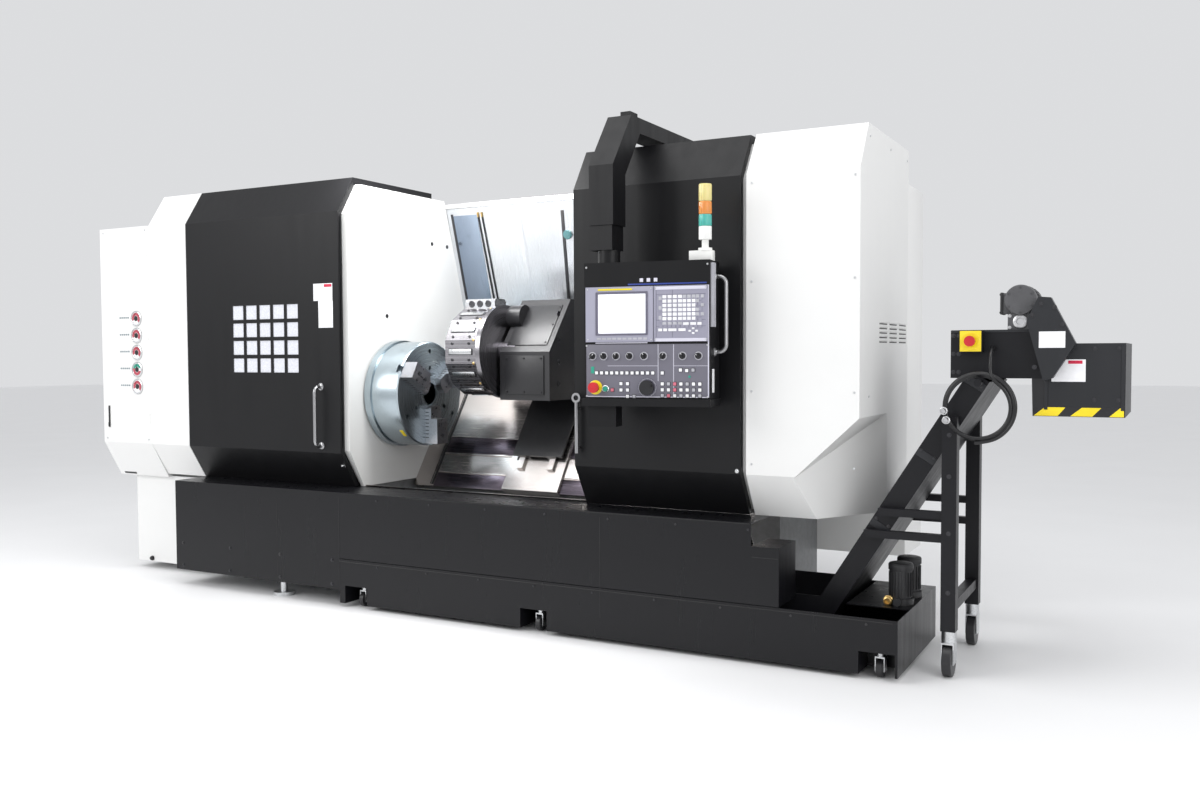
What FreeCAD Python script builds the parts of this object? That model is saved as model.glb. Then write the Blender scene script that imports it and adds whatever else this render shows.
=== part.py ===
import FreeCAD, Part
import math
import os

from FreeCAD import Base

# A slant-bed turning centre with sliding front doors, an overhead control pendant and a chip conveyor.
# Working frame: x from the left end to the right, y from the front doors to the back, z up from the floor.
# Everything is moved to its own origin, the bottom centre of the bounding box, when it is written.

# ---- lengths along the machine
cabinet_w = 410.0
head_cover_w = 310.0
left_door_w = 1100.0
opening_w = 1375.0
right_door_w = 790.0
end_cover_w = 470.0
door_gap = 4.0
end_gap = 25.0

# ---- the front profile, shared by doors and covers
base_top = 573.0
leaf_bottom = 755.0
leaf_top = 1985.0
roof_z = 2170.0
slant_in = 110.0
roof_in = 120.0
roof_back = 780.0
slide_gap = 0.5
skin = 3.0
leaf_depth = 30.0
behind_leaf = 36.0
cabinet_top = 1995.0
machine_back = 1550.0
bed_back = 1180.0
bed_bottom = 90.0
headstock_down = 262.0

# ---- base and tank
base_front = -110.0
base_right = 4190.0
base_step = 117.0
base_step_z = 480.0
base_bottom = 85.0
plate = 4.0
tank_left = 1900.0
tank_right = 4660.0
tank_back = 597.0
tank_bottom = 20.0
tank_top = 240.0
bay_z = 109.0
bay_w = 140.0
deck_w = 255.0

# ---- levelling feet
foot_r = 55.0
foot_pad = 18.0
foot_stud_r = 18.0

# ---- spindle, chuck and headstock
axis_y = 420.0
axis_z = 1050.0
chuck_r = 275.0
chuck_flange_r = 283.0
chuck_flange_w = 38.0
chuck_w = 208.0
chuck_bore_r = 58.0
spindle_r = 95.0
spindle_bore_r = 45.0
nose_r = 140.0
bearing_gap = 0.05
wall_t = 20.0
wall_hole_gap = 10.0
wall_to_chuck = 12.0
headstock_w = 640.0
motor_r = 235.0
motor_w = 380.0
jaw_w = 90.0
jaw_h = 78.0
jaw_in = 62.0
jaw_out = 262.0
jaw_step = 70.0
jaw_key = 26.0
jaw_gap = 0.05

# ---- ways and carriage
way_slope = 55.0
way_y = 681.0
way_z = 726.0
way_low = -230.0
way_high = 560.0
sheet_t = 2.0
layer = 3.0
cover_len = 470.0
right_cover_len = 425.0
carriage_w = 340.0
carriage_t = 22.0
rail_h = 34.0
rail_w = 60.0
rail_low = -150.0
rail_high = 330.0
saddle_sink = 26.0
slide_clear = 0.05

# ---- turret
turret_from_axis = 270.0
turret_r = 226.0
turret_stations = 12
turret_w = 200.0
turret_ring_r = 245.0
turret_ring_w = 26.0
turret_shaft_r = 60.0
turret_x = 2225.0
housing_w = 300.0
housing_gap = 12.0
holder_h = 52.0
holder_w = 104.0
holder_stations = (0, 2, 4)

# ---- front doors
window_cols = 5
window_rows = 4
window_x = 350.0
window_z = 1165.0
window_cell_w = 82.0
window_cell_h = 78.0
window_bar = 16.0
pane_t = 6.0
handle_r = 9.0
handle_out = 46.0
rail_h_up = 25.0
rail_y = 865.0
bracket_gap = 0.3

# ---- overhead arm and pendant
arm_x = 3426.0
arm_w = 112.0
arm_top = 2260.0
arm_under = 2195.0
arm_front = -275.0
arm_depth = 112.0
arm_foot_y = (815.0, 900.0)
neck_z = 1683.0
pendant_turn = 9.0
pendant_left = 92.0
pendant_w = 533.0
pendant_front = 52.5
pendant_t = 160.0
grip_depth = 82.0
grip_z = (1262.0, 1566.0)
pendant_z = (1072.0, 1630.0)
panel_raise = 6.0
tower_r = 26.0

# ---- conveyor
conveyor_y = 120.0
conveyor_w = 470.0
conveyor_slope = 58.0
conveyor_t = 85.0
trough_low = 124.0
trough_h = 130.0
incline_top_x = 4475.0
incline_top_z = 549.0
head_left = 4802.0
head_right = 5082.0
head_z = (1157.0, 1340.0)
chute_right = 5412.0
chute_z = (1017.0, 1287.0)
casing_t = 4.0

# ---- stand and casters
leg_x = 4782.0
leg_w = 56.0
leg_bottom = 178.0
stand_wheel_r = 62.0
stand_wheel_w = 36.0
tank_wheel_r = 36.0
tank_wheel_w = 26.0
axle_gap = 0.05

# ---- cable
cable_r = 7.0
coil_r = 122.0
coil_x = 4920.0
coil_z = 1050.0
coil_tube_r = 22.0
lead_bend_r = 66.0
gland_len = 8.0
gland_r = 11.0
gland_dx = 40.0
gland_z = 1272.0

# ---- buttons that travel
stop_stem_r = 9.0
start_button_r = 10.0
stop_travel = 5.0
start_travel = 3.0
button_gap = 0.05
dial_stem_r = 8.0
dial_stem_in = 6.0
stop_place = (48.0, 1118.0)
start_place = (92.0, 1112.0)
dial_place = (272.0, 1118.0)

# ---- service door
door_inset = 14.0
door_inset_z = 8.0
gauge_place = (300.0, 1277.0)
gauge_pitch = 97.5
gauge_r = 42.0
barrel_r = 4.0
barrel_len = 52.0
barrel_places = (874.0, 1349.0, 1824.0)

# ---- end cover
end_cover_depth = 820.0
wedge_run = 273.0
wedge_low = 743.0
wedge_high = 1000.0
wedge_in = 446.0

# ---- coolant pumps
pump_r = 44.0
pump_top = 140.0
pump_cap = 25.0

# ---- places worked out from the values above
head_x = cabinet_w
left_door_x = head_x + head_cover_w
wall_x = left_door_x + left_door_w + 10.0
right_door_x = left_door_x + left_door_w + opening_w
end_x = right_door_x + right_door_w + end_gap
end_right = end_x + end_cover_w
chuck_x = wall_x + wall_t + wall_to_chuck
chuck_face = chuck_x + chuck_w
way_dir = (math.cos(math.radians(way_slope)), math.sin(math.radians(way_slope)))
way_out = (-way_dir[1], way_dir[0])
turret_y = axis_y + turret_from_axis * way_dir[0]
turret_z = axis_z + turret_from_axis * way_dir[1]
ring_x = turret_x + turret_w
housing_x = ring_x + turret_ring_w + housing_gap
carriage_x = housing_x - 20.0
front_path = [(slant_in, base_top + slide_gap), (0, leaf_bottom), (0, leaf_top), (roof_in, roof_z),
    (roof_back, roof_z)]
pivot_x = arm_x + 64.0
pivot_y = arm_front + arm_depth / 2
incline = math.radians(conveyor_slope)

nodes = {}
cord_names = ("cable_coil", "cable_lead", "cable_connectors")


def vec(x, y, z):
    return Base.Vector(x, y, z)


def box(x0, x1, y0, y1, z0, z1):
    return Part.makeBox(x1 - x0, y1 - y0, z1 - z0, vec(x0, y0, z0))


def prism(points, along):
    wire = Part.makePolygon(points + points[:1])
    return Part.Face(wire).extrude(along)


def prism_x(outline, x0, x1):
    return prism([vec(x0, y, z) for y, z in outline], vec(x1 - x0, 0, 0))


def prism_y(outline, y0, y1):
    return prism([vec(x, y0, z) for x, z in outline], vec(0, y1 - y0, 0))


def prism_z(outline, z0, z1):
    return prism([vec(x, y, z0) for x, y in outline], vec(0, 0, z1 - z0))


def rod_x(y, z, r, x0, x1):
    return Part.makeCylinder(r, x1 - x0, vec(x0, y, z), vec(1, 0, 0))


def rod_y(x, z, r, y0, y1):
    return Part.makeCylinder(r, y1 - y0, vec(x, y0, z), vec(0, 1, 0))


def rod_z(x, y, r, z0, z1):
    return Part.makeCylinder(r, z1 - z0, vec(x, y, z0), vec(0, 0, 1))


def fuse(shapes):
    whole = shapes[0]
    for shape in shapes[1:]:
        whole = whole.fuse(shape)
    return whole.removeSplitter()


def cut(shape, tools):
    for tool in tools:
        shape = shape.cut(tool)
    return shape


def turned(shape, centre, axis, angle):
    copy = shape.copy()
    copy.rotate(centre, axis, angle)
    return copy


def offset(path, d):
    """The open path moved sideways by d, to the left of its direction, with mitred corners."""
    normals = []
    for (a, b), (c, e) in zip(path, path[1:]):
        length = math.hypot(c - a, e - b)
        normals.append(((b - e) / length, (c - a) / length))
    moved = []
    for i, (a, b) in enumerate(path):
        n = normals[max(i - 1, 0)]
        m = normals[min(i, len(normals) - 1)]
        scale = d / (1 + n[0] * m[0] + n[1] * m[1])
        moved.append((a + (n[0] + m[0]) * scale, b + (n[1] + m[1]) * scale))
    return moved


def folded(path, outer, inner, x0, x1):
    return prism_x(offset(path, outer) + offset(path, inner)[::-1], x0, x1)


def way_point(along, out):
    """A point in the y-z plane, along the slanted ways and out from their surface."""
    return (
        way_y + along * way_dir[0] + out * way_out[0],
        way_z + along * way_dir[1] + out * way_out[1],
    )


def way_slab(a0, a1, d0, d1, x0, x1):
    return prism_x([way_point(a0, d0), way_point(a1, d0), way_point(a1, d1), way_point(a0, d1)], x0, x1)


def back_panel_y(z):
    return 885.0 + (2060.0 - z) * 0.293


# ---------------------------------------------------------------- bed, base and tank
def bed_casting():
    top = -rail_h - 28.0
    bed_right = end_x - 60.0
    low = way_point(way_low, top)
    high = way_point(way_high, top)
    slope = prism_x([(low[0], bed_bottom), low, high, (bed_back, high[1]), (bed_back, bed_bottom)],
        wall_x - 200, bed_right)
    block = box(head_x + 540, wall_x - 1, 200, bed_back, bed_bottom, axis_z - headstock_down)
    toe = box(head_x + 540, wall_x - 1, base_front + plate + 20, 200, bed_bottom, 400)
    rails = [way_slab(a, a + rail_w, top, -28.0, wall_x + wall_t, bed_right) for a in (rail_low, rail_high)]
    return fuse([slope, block, toe] + rails)


def bed_top():
    return way_point(way_high, -rail_h - 28.0)[1]


def levelling_feet():
    feet = []
    places = [(x, y) for x in (head_x + 600, wall_x - 60, 2700, end_x - 150) for y in (700, bed_back - 90)]
    for x, y in places + [(1445, -30)]:
        feet.append(fuse([rod_z(x, y, foot_r, 0, foot_pad),
            rod_z(x, y, foot_stud_r, foot_pad, bed_bottom)]))
    return Part.Compound(feet)


def base_skirt():
    outline = [(left_door_x + 5, base_bottom), (tank_left, base_bottom), (tank_left, tank_top + 3)]
    outline += [(base_right, tank_top + 3), (base_right, base_step_z),
        (base_right - base_step, base_step_z)]
    outline += [(base_right - base_step, base_top), (left_door_x + 5, base_top)]
    front = prism_y(outline, base_front, base_front + plate)
    ledge = box(left_door_x + 5, base_right - base_step, base_front, slant_in + 40, base_top - plate,
        base_top)
    step = box(base_right - base_step, base_right, base_front, 100, base_step_z - plate, base_step_z)
    left = box(left_door_x + 5, left_door_x + 5 + plate, base_front, bed_back, base_bottom, base_top)
    right = box(base_right - plate, base_right, base_front, 100, tank_top + 3, base_step_z)
    return fuse([front, ledge, step, left, right])


def caster_xs():
    return (tank_left + 105, 3038.0, tank_right - bay_w / 2 - 10)


def coolant_tank():
    outer = box(tank_left, tank_right, base_front, tank_back, tank_bottom, tank_top)
    inner = box(tank_left + plate, tank_right - plate, base_front + plate, tank_back - plate,
        bay_z + plate, tank_top + 1)
    bays = [box(x - bay_w / 2, x + bay_w / 2, base_front - 1, base_front + bay_w, 0, bay_z)
        for x in caster_xs()]
    bays += [box(x - bay_w / 2, x + bay_w / 2, tank_back - bay_w, tank_back + 1, 0, bay_z)
        for x in caster_xs()]
    sump = box(tank_left + plate + 210, 2950, base_front + plate, tank_back - plate, tank_bottom + plate,
        tank_top)
    sump2 = box(3130, tank_right - bay_w - 30, base_front + plate, tank_back - plate,
        tank_bottom + plate, tank_top)
    deck = box(tank_right - deck_w, tank_right - plate, 100, tank_back - plate, tank_top - plate, tank_top)
    return fuse([cut(outer, [inner, sump, sump2] + bays), deck])


def coolant_pumps():
    pumps = []
    for x, y in ((tank_right - 60, 200), (tank_right - 60, 350)):
        body = rod_z(x, y, pump_r + 8, tank_top, tank_top + 26)
        motor = rod_z(x, y, pump_r, tank_top + 26, tank_top + pump_top)
        cap = rod_z(x, y, pump_r + 3, tank_top + pump_top, tank_top + pump_top + pump_cap)
        port = rod_y(x, tank_top + 17, 16, y - 70, y - 40)
        pumps.append(fuse([body, motor, cap, port]))
    return Part.Compound(pumps)


def rear_wheel_sets():
    """The casters under the back of the tank, as separate solids in one group."""
    parts = []
    for x in caster_xs():
        y = tank_back - bay_w / 2
        parts += [caster_fork(x, y, bay_z, tank_wheel_r, tank_wheel_w),
            caster_wheel(x, y, tank_wheel_r, tank_wheel_w)]
    return parts


def caster_fork(x, y, top, r, w):
    """A fork whose axle lies along x, under a plate whose lower face is at top."""
    inside = w / 2 + 2.0
    cheek = 4.0
    bridge = r * 2 + 4.0
    sides = [
        box(x + s * inside - (cheek if s < 0 else 0), x + s * inside + (cheek if s > 0 else 0),
            y - r / 2, y + r / 2, r - 12, bridge + 6)
        for s in (-1, 1)
    ]
    crown = box(x - inside - cheek, x + inside + cheek, y - r / 2, y + r / 2, bridge, bridge + 6)
    post = rod_z(x, y, r * 0.45, bridge + 6, top)
    axle = rod_x(y, r, 5.0, x - inside - cheek, x + inside + cheek)
    return fuse(sides + [crown, post, axle])


def caster_wheel(x, y, r, w):
    tread = rod_x(y, r, r, x - w / 2, x + w / 2)
    edge = [e for e in tread.Edges if abs(e.Length - 2 * math.pi * r) < 1]
    return tread.makeFillet(4.0, edge).cut(rod_x(y, r, 5.0 + axle_gap, x - w, x + w))


def tank_caster_forks():
    front = [caster_fork(x, base_front + bay_w / 2, bay_z, tank_wheel_r, tank_wheel_w) for x in caster_xs()]
    return Part.Compound(front + rear_wheel_sets())


# ---------------------------------------------------------------- left end
def cabinet_outline():
    return [(slant_in, base_top - 20), (0, leaf_bottom), (0, cabinet_top), (bed_back, cabinet_top),
        (bed_back, base_top - 20)]


def left_cabinet():
    x1 = cabinet_w - 0.3
    outer = prism_x(cabinet_outline(), 0, x1)
    inset = [(slant_in + 6, base_top - 17), (skin, leaf_bottom), (skin, cabinet_top - skin)]
    inset += [(bed_back - skin, cabinet_top - skin), (bed_back - skin, base_top - 17)]
    inner = prism_x(inset, skin, x1 - skin)
    low = leaf_bottom + 12
    high = cabinet_top - 12
    gauge_plate = box(180, x1 - skin, 34, 37, low, high)
    shelf = [box(180, x1 - skin, skin, 37, z, z + skin) for z in (low, high - skin)]
    shelf_posts = box(180, 180 + skin, skin, 37, low, high - skin)
    column_y = slant_in + 30
    column = box(100, 700, column_y, column_y + skin, 40, base_top - 17)
    column_side = box(100, 100 + skin, column_y, 700, 40, base_top - 17)
    opening = box(door_x0() - slide_gap, door_x1() + slide_gap, -1, skin + 1, door_z0() - slide_gap,
        door_z1() + slide_gap)
    notches = [rod_z(door_x1(), 0, barrel_r + slide_gap, z - slide_gap, z + barrel_len + slide_gap)
        for z in barrel_places]
    shell = cut(outer, [inner, opening] + notches)
    return fuse([shell, gauge_plate, shelf_posts, column, column_side] + shelf)


def door_x0():
    return door_inset


def door_x1():
    return cabinet_w - door_inset


def door_z0():
    return leaf_bottom + door_inset_z


def door_z1():
    return cabinet_top - door_inset_z


def gauge_places():
    return [(gauge_place[0], gauge_place[1] + gauge_pitch * k) for k in (-2, -1, 0, 1, 2)]


def service_door():
    panel = box(door_x0(), door_x1(), 0, skin, door_z0(), door_z1())
    holes = [rod_y(x, z, gauge_r + 3, -1, skin + 1) for x, z in gauge_places()]
    slot = box(48, 58, -1, skin + 1, 845, 965)
    lever = box(46, 60, -3, 0, 843, 967)
    barrels = [rod_z(door_x1(), 0, barrel_r, z, z + barrel_len) for z in barrel_places]
    return fuse([cut(panel, holes + [slot]), lever] + barrels)


def pressure_gauges():
    return Part.Compound([fuse([rod_y(x, z, gauge_r, -7, 14), rod_y(x, z, 20, 14, 34)]) for x,
        z in gauge_places()])


# ---------------------------------------------------------------- headstock
def headstock_cover():
    x0 = head_x + 0.3
    flush = folded(front_path, 0, -skin, x0, left_door_x - door_gap)
    recessed = folded(front_path, -behind_leaf, -behind_leaf - skin, left_door_x - door_gap, wall_x)
    joint = folded(front_path, 0, -behind_leaf - skin, left_door_x - door_gap - skin,
        left_door_x - door_gap)
    return fuse([flush, recessed, joint])


def wall_outline():
    edge = offset(front_path, -behind_leaf)
    top = edge[-2][1]
    return [(edge[0][0], base_top + 1)] + edge[1:-1] + [(back_panel_y(top) - 4, top),
        (bed_back - 30, 1180), (bed_back - 30, base_top + 1)]


def headstock_wall():
    plate_shape = prism_x(wall_outline(), wall_x, wall_x + wall_t)
    hole = rod_x(axis_y, axis_z, nose_r + wall_hole_gap, wall_x - 1, wall_x + wall_t + 1)
    low = way_point(way_low - 60, 0)
    high = way_point(way_high + 60, 0)
    bed_cut = prism_x([(low[0], low[1] - 200), low, high, (high[0] + 400, high[1]),
        (high[0] + 400, low[1] - 200)], wall_x - 1, wall_x + wall_t + 1)
    rail_cut = box(wall_x - 1, wall_x + wall_t + 1, rail_y - 0.5, rail_y + 200, upper_rail_z() - 0.5,
        roof_z)
    return cut(plate_shape, [hole, bed_cut, rail_cut])


def headstock():
    x1 = wall_x - 25
    body = box(x1 - headstock_w, x1, axis_y - 250, axis_y + 260, axis_z - headstock_down, axis_z + 255)
    return body.cut(rod_x(axis_y, axis_z, spindle_r + bearing_gap, x1 - headstock_w - 1, x1 + 1))


def spindle_tail():
    return wall_x - 25 - headstock_w - motor_w - 20


def spindle_motor():
    x1 = wall_x - 25 - headstock_w
    ring = rod_x(axis_y, axis_z, motor_r, x1 - motor_w, x1)
    foot = box(x1 - motor_w + 40, x1 - 40, axis_y - 150, axis_y + 150, axis_z - headstock_down,
        axis_z - 150)
    bore = rod_x(axis_y, axis_z, spindle_r + bearing_gap, x1 - motor_w - 1, x1 + 1)
    return fuse([ring, foot]).cut(bore)


def spindle():
    shaft = rod_x(axis_y, axis_z, spindle_r, spindle_tail(), wall_x - 20)
    nose = rod_x(axis_y, axis_z, nose_r, wall_x - 20, chuck_x)
    bore = rod_x(axis_y, axis_z, spindle_bore_r, spindle_tail() - 1, chuck_x + 1)
    return fuse([shaft, nose]).cut(bore)


# ---------------------------------------------------------------- chuck
def jaw_angles():
    return (-90.0, 30.0, 150.0)


def on_axis(shape, angle):
    """The shape drawn along +y from the spindle axis, turned about that axis."""
    return turned(shape, vec(0, axis_y, axis_z), vec(1, 0, 0), angle)


def jaw_slot(gap):
    half = jaw_w / 2 - 22 + gap
    key = half - 8
    stem = box(chuck_face - jaw_key, chuck_face + 1, axis_y + jaw_in - 40, axis_y + chuck_r + 20,
        axis_z - key, axis_z + key)
    foot = box(chuck_face - jaw_key - gap, chuck_face - jaw_key / 2 + gap, axis_y + jaw_in - 40,
        axis_y + chuck_r + 20, axis_z - half, axis_z + half)
    return fuse([stem, foot])


def chuck_body():
    body = rod_x(axis_y, axis_z, chuck_r, chuck_x, chuck_face)
    round_edges = [e for e in body.Edges if abs(e.Length - 2 * math.pi * chuck_r) < 1]
    rim = [e for e in round_edges if e.BoundBox.XMin > chuck_face - 1]
    body = body.makeChamfer(6.0, rim)
    flange = rod_x(axis_y, axis_z, chuck_flange_r, chuck_x, chuck_x + chuck_flange_w)
    bore = rod_x(axis_y, axis_z, chuck_bore_r, chuck_x - 1, chuck_face + 1)
    slots = [on_axis(jaw_slot(jaw_gap), a) for a in jaw_angles()]
    bolts = []
    for a in (-30.0, 90.0, 210.0):
        for r in (chuck_r * 0.5, chuck_r * 0.82):
            hole = rod_x(axis_y + r, axis_z, 11, chuck_face - 24, chuck_face + 1)
            bolts.append(on_axis(hole, a))
    return cut(fuse([body, flange]), [bore] + slots + bolts)


def jaw(angle):
    half = jaw_w / 2 - 22
    key = half - 8
    y0 = axis_y + jaw_in
    y1 = axis_y + jaw_out - 14
    stem = box(chuck_face - jaw_key + jaw_gap, chuck_face + 2, y0 + 6, y1, axis_z - key + jaw_gap,
        axis_z + key - jaw_gap)
    foot = box(chuck_face - jaw_key + jaw_gap, chuck_face - jaw_key / 2 - jaw_gap, y0 + 6, y1,
        axis_z - half + jaw_gap, axis_z + half - jaw_gap)
    base = box(chuck_face + 0.3, chuck_face + jaw_h / 2, y0, axis_y + jaw_out, axis_z - jaw_w / 2,
        axis_z + jaw_w / 2)
    step = box(chuck_face + jaw_h / 2, chuck_face + jaw_h, y0 + jaw_step, axis_y + jaw_out,
        axis_z - jaw_w / 2, axis_z + jaw_w / 2)
    bolts = [rod_x(axis_y + r, axis_z, 12, chuck_face + jaw_h - 16, chuck_face + jaw_h + 1)
        for r in (160, 220)]
    tip = prism_x([(y0 - 1, axis_z + jaw_w), (y0 - 1, axis_z + 14), (y0 + 34, axis_z + jaw_w)],
        chuck_face, chuck_face + jaw_h + 1)
    tip2 = prism_x([(y0 - 1, axis_z - jaw_w), (y0 - 1, axis_z - 14), (y0 + 34, axis_z - jaw_w)],
        chuck_face, chuck_face + jaw_h + 1)
    return on_axis(cut(fuse([stem, foot, base, step]), bolts + [tip, tip2]), angle)


# ---------------------------------------------------------------- work area
def upper_rail_z():
    return roof_z - 80


def back_panel():
    low = bed_top() + skin
    top = upper_rail_z() - 1.2
    path = [(back_panel_y(low), low), (back_panel_y(top), top)]
    foot_y = back_panel_y(low)
    foot = box(wall_x + wall_t, end_x - 60, foot_y - 60, foot_y + skin, low - skin, low)
    return fuse([folded(path, 0, -skin, wall_x + wall_t, end_x - 60), foot])


def upper_rail():
    z = upper_rail_z()
    return box(head_x + 20, end_x - 10, rail_y, rail_y + 22, z, z + rail_h_up)


def front_lip():
    """The bent stainless tray edge behind the base ledge, and the sloped chip guide under it."""
    path = [(330, 300), (slant_in + 70, base_top - 40), (slant_in + 42, base_top + 8)]
    return folded(path, sheet_t, 0, wall_x + wall_t, end_x - 60)


def cover_pair(level, left_x, left_len, right_x, right_len):
    d = level * layer
    return [
        way_slab(way_low, way_high, d, d + sheet_t, left_x, left_x + left_len),
        way_slab(way_low, way_high, d, d + sheet_t, right_x - right_len, right_x),
    ]


def way_cover_inner():
    supports = []
    x0 = wall_x + wall_t + 1
    x1 = end_x - 61
    for a in (way_low + 20, way_high - 30):
        supports.append(way_slab(a, a + 10, -62.0, 0, x0, x0 + 20))
        supports.append(way_slab(a, a + 10, -62.0, 0, x1 - 20, x1))
    left, right = cover_pair(0, x0, cover_len, x1, right_cover_len)
    return Part.Compound([fuse([left, supports[0], supports[2]]), fuse([right, supports[1], supports[3]])])


def middle_left_x():
    return (wall_x + wall_t + 1 + carriage_x - cover_len) / 2


def middle_right_x():
    return (end_x - 61 + carriage_x + carriage_w + right_cover_len) / 2


def way_cover_middle():
    return Part.Compound(cover_pair(1, middle_left_x(), cover_len, middle_right_x(), right_cover_len))


def carriage():
    x0 = carriage_x
    x1 = carriage_x + carriage_w
    under = -28.0 + slide_clear
    saddle = way_slab(way_low, way_high - 40, under, carriage_t, x0, x1)
    keel = way_slab(rail_low + rail_w + 0.5, rail_high - 0.5, -28.0 - saddle_sink, under, x0 + 20, x1 - 20)
    wings = cover_pair(2, x0 - cover_len, cover_len, x1 + right_cover_len, right_cover_len)
    slide_rails = [way_slab(way_low + 120, way_high - 60, carriage_t, carriage_t + 18, x, x + 34)
        for x in (x0 + 60, x1 - 94)]
    return fuse([saddle, keel] + wings + slide_rails)


# ---------------------------------------------------------------- turret
def housing_floor(y):
    """Height, at depth y, of the plane that the turret housing stands on."""
    foot_y, foot_z = way_point(0, carriage_t + 30.0)
    return foot_z + (y - foot_y) * math.tan(math.radians(way_slope))


def turret_housing():
    x0 = housing_x
    x1 = housing_x + housing_w
    front = turret_y - 75
    back = front + 400
    low = 1020.0
    under = way_point(0, carriage_t + 30.0)
    low_y = under[0] + (low - under[1]) / math.tan(math.radians(way_slope))
    outline = [(front, low), (front, 1270), (front + 220, 1545), (back, 1545),
        (back, housing_floor(back)), (low_y, low)]
    body = prism_x(outline, x0, x1)
    edges = (carriage_x + 20, carriage_x + carriage_w - 20)
    slide = way_slab(way_low + 190, way_high - 110, carriage_t + 18.0 + slide_clear, carriage_t + 31.0,
        edges[0], edges[1])
    keepers = []
    for x in (carriage_x + 60 + 34 + slide_clear, carriage_x + carriage_w - 94 - 24 - slide_clear):
        keepers.append(way_slab(way_low + 190, way_high - 110, carriage_t + 2.0, carriage_t + 20.0, x,
            x + 24))
    bore = rod_x(turret_y, turret_z, turret_shaft_r + bearing_gap, x0 - 1, x0 + 80)
    motor = rod_x(front + 140, 1455, 62, x0 - 8, x0 + 70)
    return fuse([body, slide, motor] + keepers).cut(bore)


def turret_disc():
    corner = turret_r / math.cos(math.pi / turret_stations)
    step = 2 * math.pi / turret_stations
    points = []
    for k in range(turret_stations):
        a = (k + 0.5) * step
        points.append((turret_y + corner * math.sin(a), turret_z + corner * math.cos(a)))
    drum = prism_x(points, turret_x, ring_x)
    ring = rod_x(turret_y, turret_z, turret_ring_r, ring_x, ring_x + turret_ring_w)
    shaft = rod_x(turret_y, turret_z, turret_shaft_r, ring_x + turret_ring_w, housing_x + 78)
    face = rod_x(turret_y, turret_z, 120, turret_x - 14, turret_x)
    return fuse([drum, ring, shaft, face])


def tool_holder(station):
    base = turret_z + turret_r
    half = holder_w / 2
    block = box(turret_x + 6, ring_x - 6, turret_y - half, turret_y + half, base, base + holder_h)
    top = [e for e in block.Edges if e.BoundBox.ZMin > base + holder_h - 1 and e.Length > holder_w + 1]
    block = block.makeChamfer(12.0, top)
    bores = [rod_y(turret_x + x, base + holder_h / 2, 13, turret_y - half - 1, turret_y + half + 1)
        for x in (48, 100, 152)]
    return turned(cut(block, bores), vec(0, turret_y, turret_z), vec(1, 0, 0),
        -station * 360.0 / turret_stations)


def tool_holders():
    return Part.Compound([tool_holder(s) for s in holder_stations])


# ---------------------------------------------------------------- front doors
def leaf(x0, x1):
    """A folded door skin with a return flange down each side, reaching over the roof."""
    skin_shape = folded(front_path, 0, -skin, x0, x1)
    flanges = [folded(front_path, 0, -leaf_depth, x, x + skin) for x in (x0, x1 - skin)]
    z = roof_z - leaf_depth
    hook = box(x0, x1, roof_back - skin, roof_back, z, roof_z)
    arms = [box(x, x + 40, roof_back, rail_y - bracket_gap, z + 6, z + 12) for x in (x0 + 60, x1 - 100)]
    return fuse([skin_shape, hook] + flanges + arms)


def window_grid():
    cells = []
    for i in range(window_cols):
        for j in range(window_rows):
            x = left_door_x + window_x + i * (window_cell_w + window_bar)
            z = window_z + j * (window_cell_h + window_bar)
            cells.append(box(x, x + window_cell_w, -1, skin + 1, z, z + window_cell_h))
    return cells


def left_door():
    return cut(leaf(left_door_x, left_door_x + left_door_w), window_grid())


def left_window():
    x0 = left_door_x + window_x - 20
    x1 = x0 + window_cols * (window_cell_w + window_bar) + 24
    z1 = window_z + window_rows * (window_cell_h + window_bar) + 4
    return box(x0, x1, skin, skin + pane_t, window_z - 20, z1)


def right_door():
    return leaf(right_door_x, right_door_x + right_door_w)


def bow_handle(x, z0, z1):
    """A round bar bent twice, standing out from the door face on two posts."""
    bend = 30.0
    y1 = -handle_out
    points = [vec(x, 0, z0), vec(x, y1 + bend, z0), vec(x, y1, z0 + bend), vec(x, y1, z1 - bend)]
    points += [vec(x, y1 + bend, z1), vec(x, 0, z1)]
    corner = bend * (1 - math.sqrt(0.5))
    low = Part.Arc(points[1], vec(x, y1 + corner, z0 + corner), points[2]).toShape()
    high = Part.Arc(points[3], vec(x, y1 + corner, z1 - corner), points[4]).toShape()
    edges = [Part.makeLine(points[0], points[1]), low, Part.makeLine(points[2], points[3]), high]
    edges.append(Part.makeLine(points[4], points[5]))
    section = Part.Wire(Part.makeCircle(handle_r, points[0], vec(0, -1, 0)))
    bar = Part.Wire(edges).makePipeShell([section], True, True)
    pads = [rod_y(x, z, handle_r * 1.7, -4, 0) for z in (z0, z1)]
    return fuse([bar] + pads)


def left_door_handle():
    return bow_handle(left_door_x + left_door_w - 128, 790, 1095)


def right_door_handle():
    x = right_door_x + 26
    bar = rod_z(x, -28, 9, 815, 1040)
    posts = [rod_y(x, z, 7, -28, 0) for z in (840, 1015)]
    ring = rod_y(x, 1062, 22, -34, -22)
    hole = rod_y(x, 1062, 12, -35, -21)
    return fuse([bar, ring] + posts).cut(hole)


# ---------------------------------------------------------------- right end
def corner_wedge(grow):
    """The bevelled lower front corner of the end cover, where the conveyor leaves."""
    right = end_right + 1
    start = end_right - wedge_run - grow
    back = wedge_in + grow
    side = prism_y([(start, wedge_low + grow), (right, wedge_high + grow), (right, 400), (start, 400)],
        -1 - grow, back)
    plan = prism_z([(start, -1 - grow), (right, -1 - grow), (right, back)], 399, 1100)
    return side.common(plan)


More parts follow.
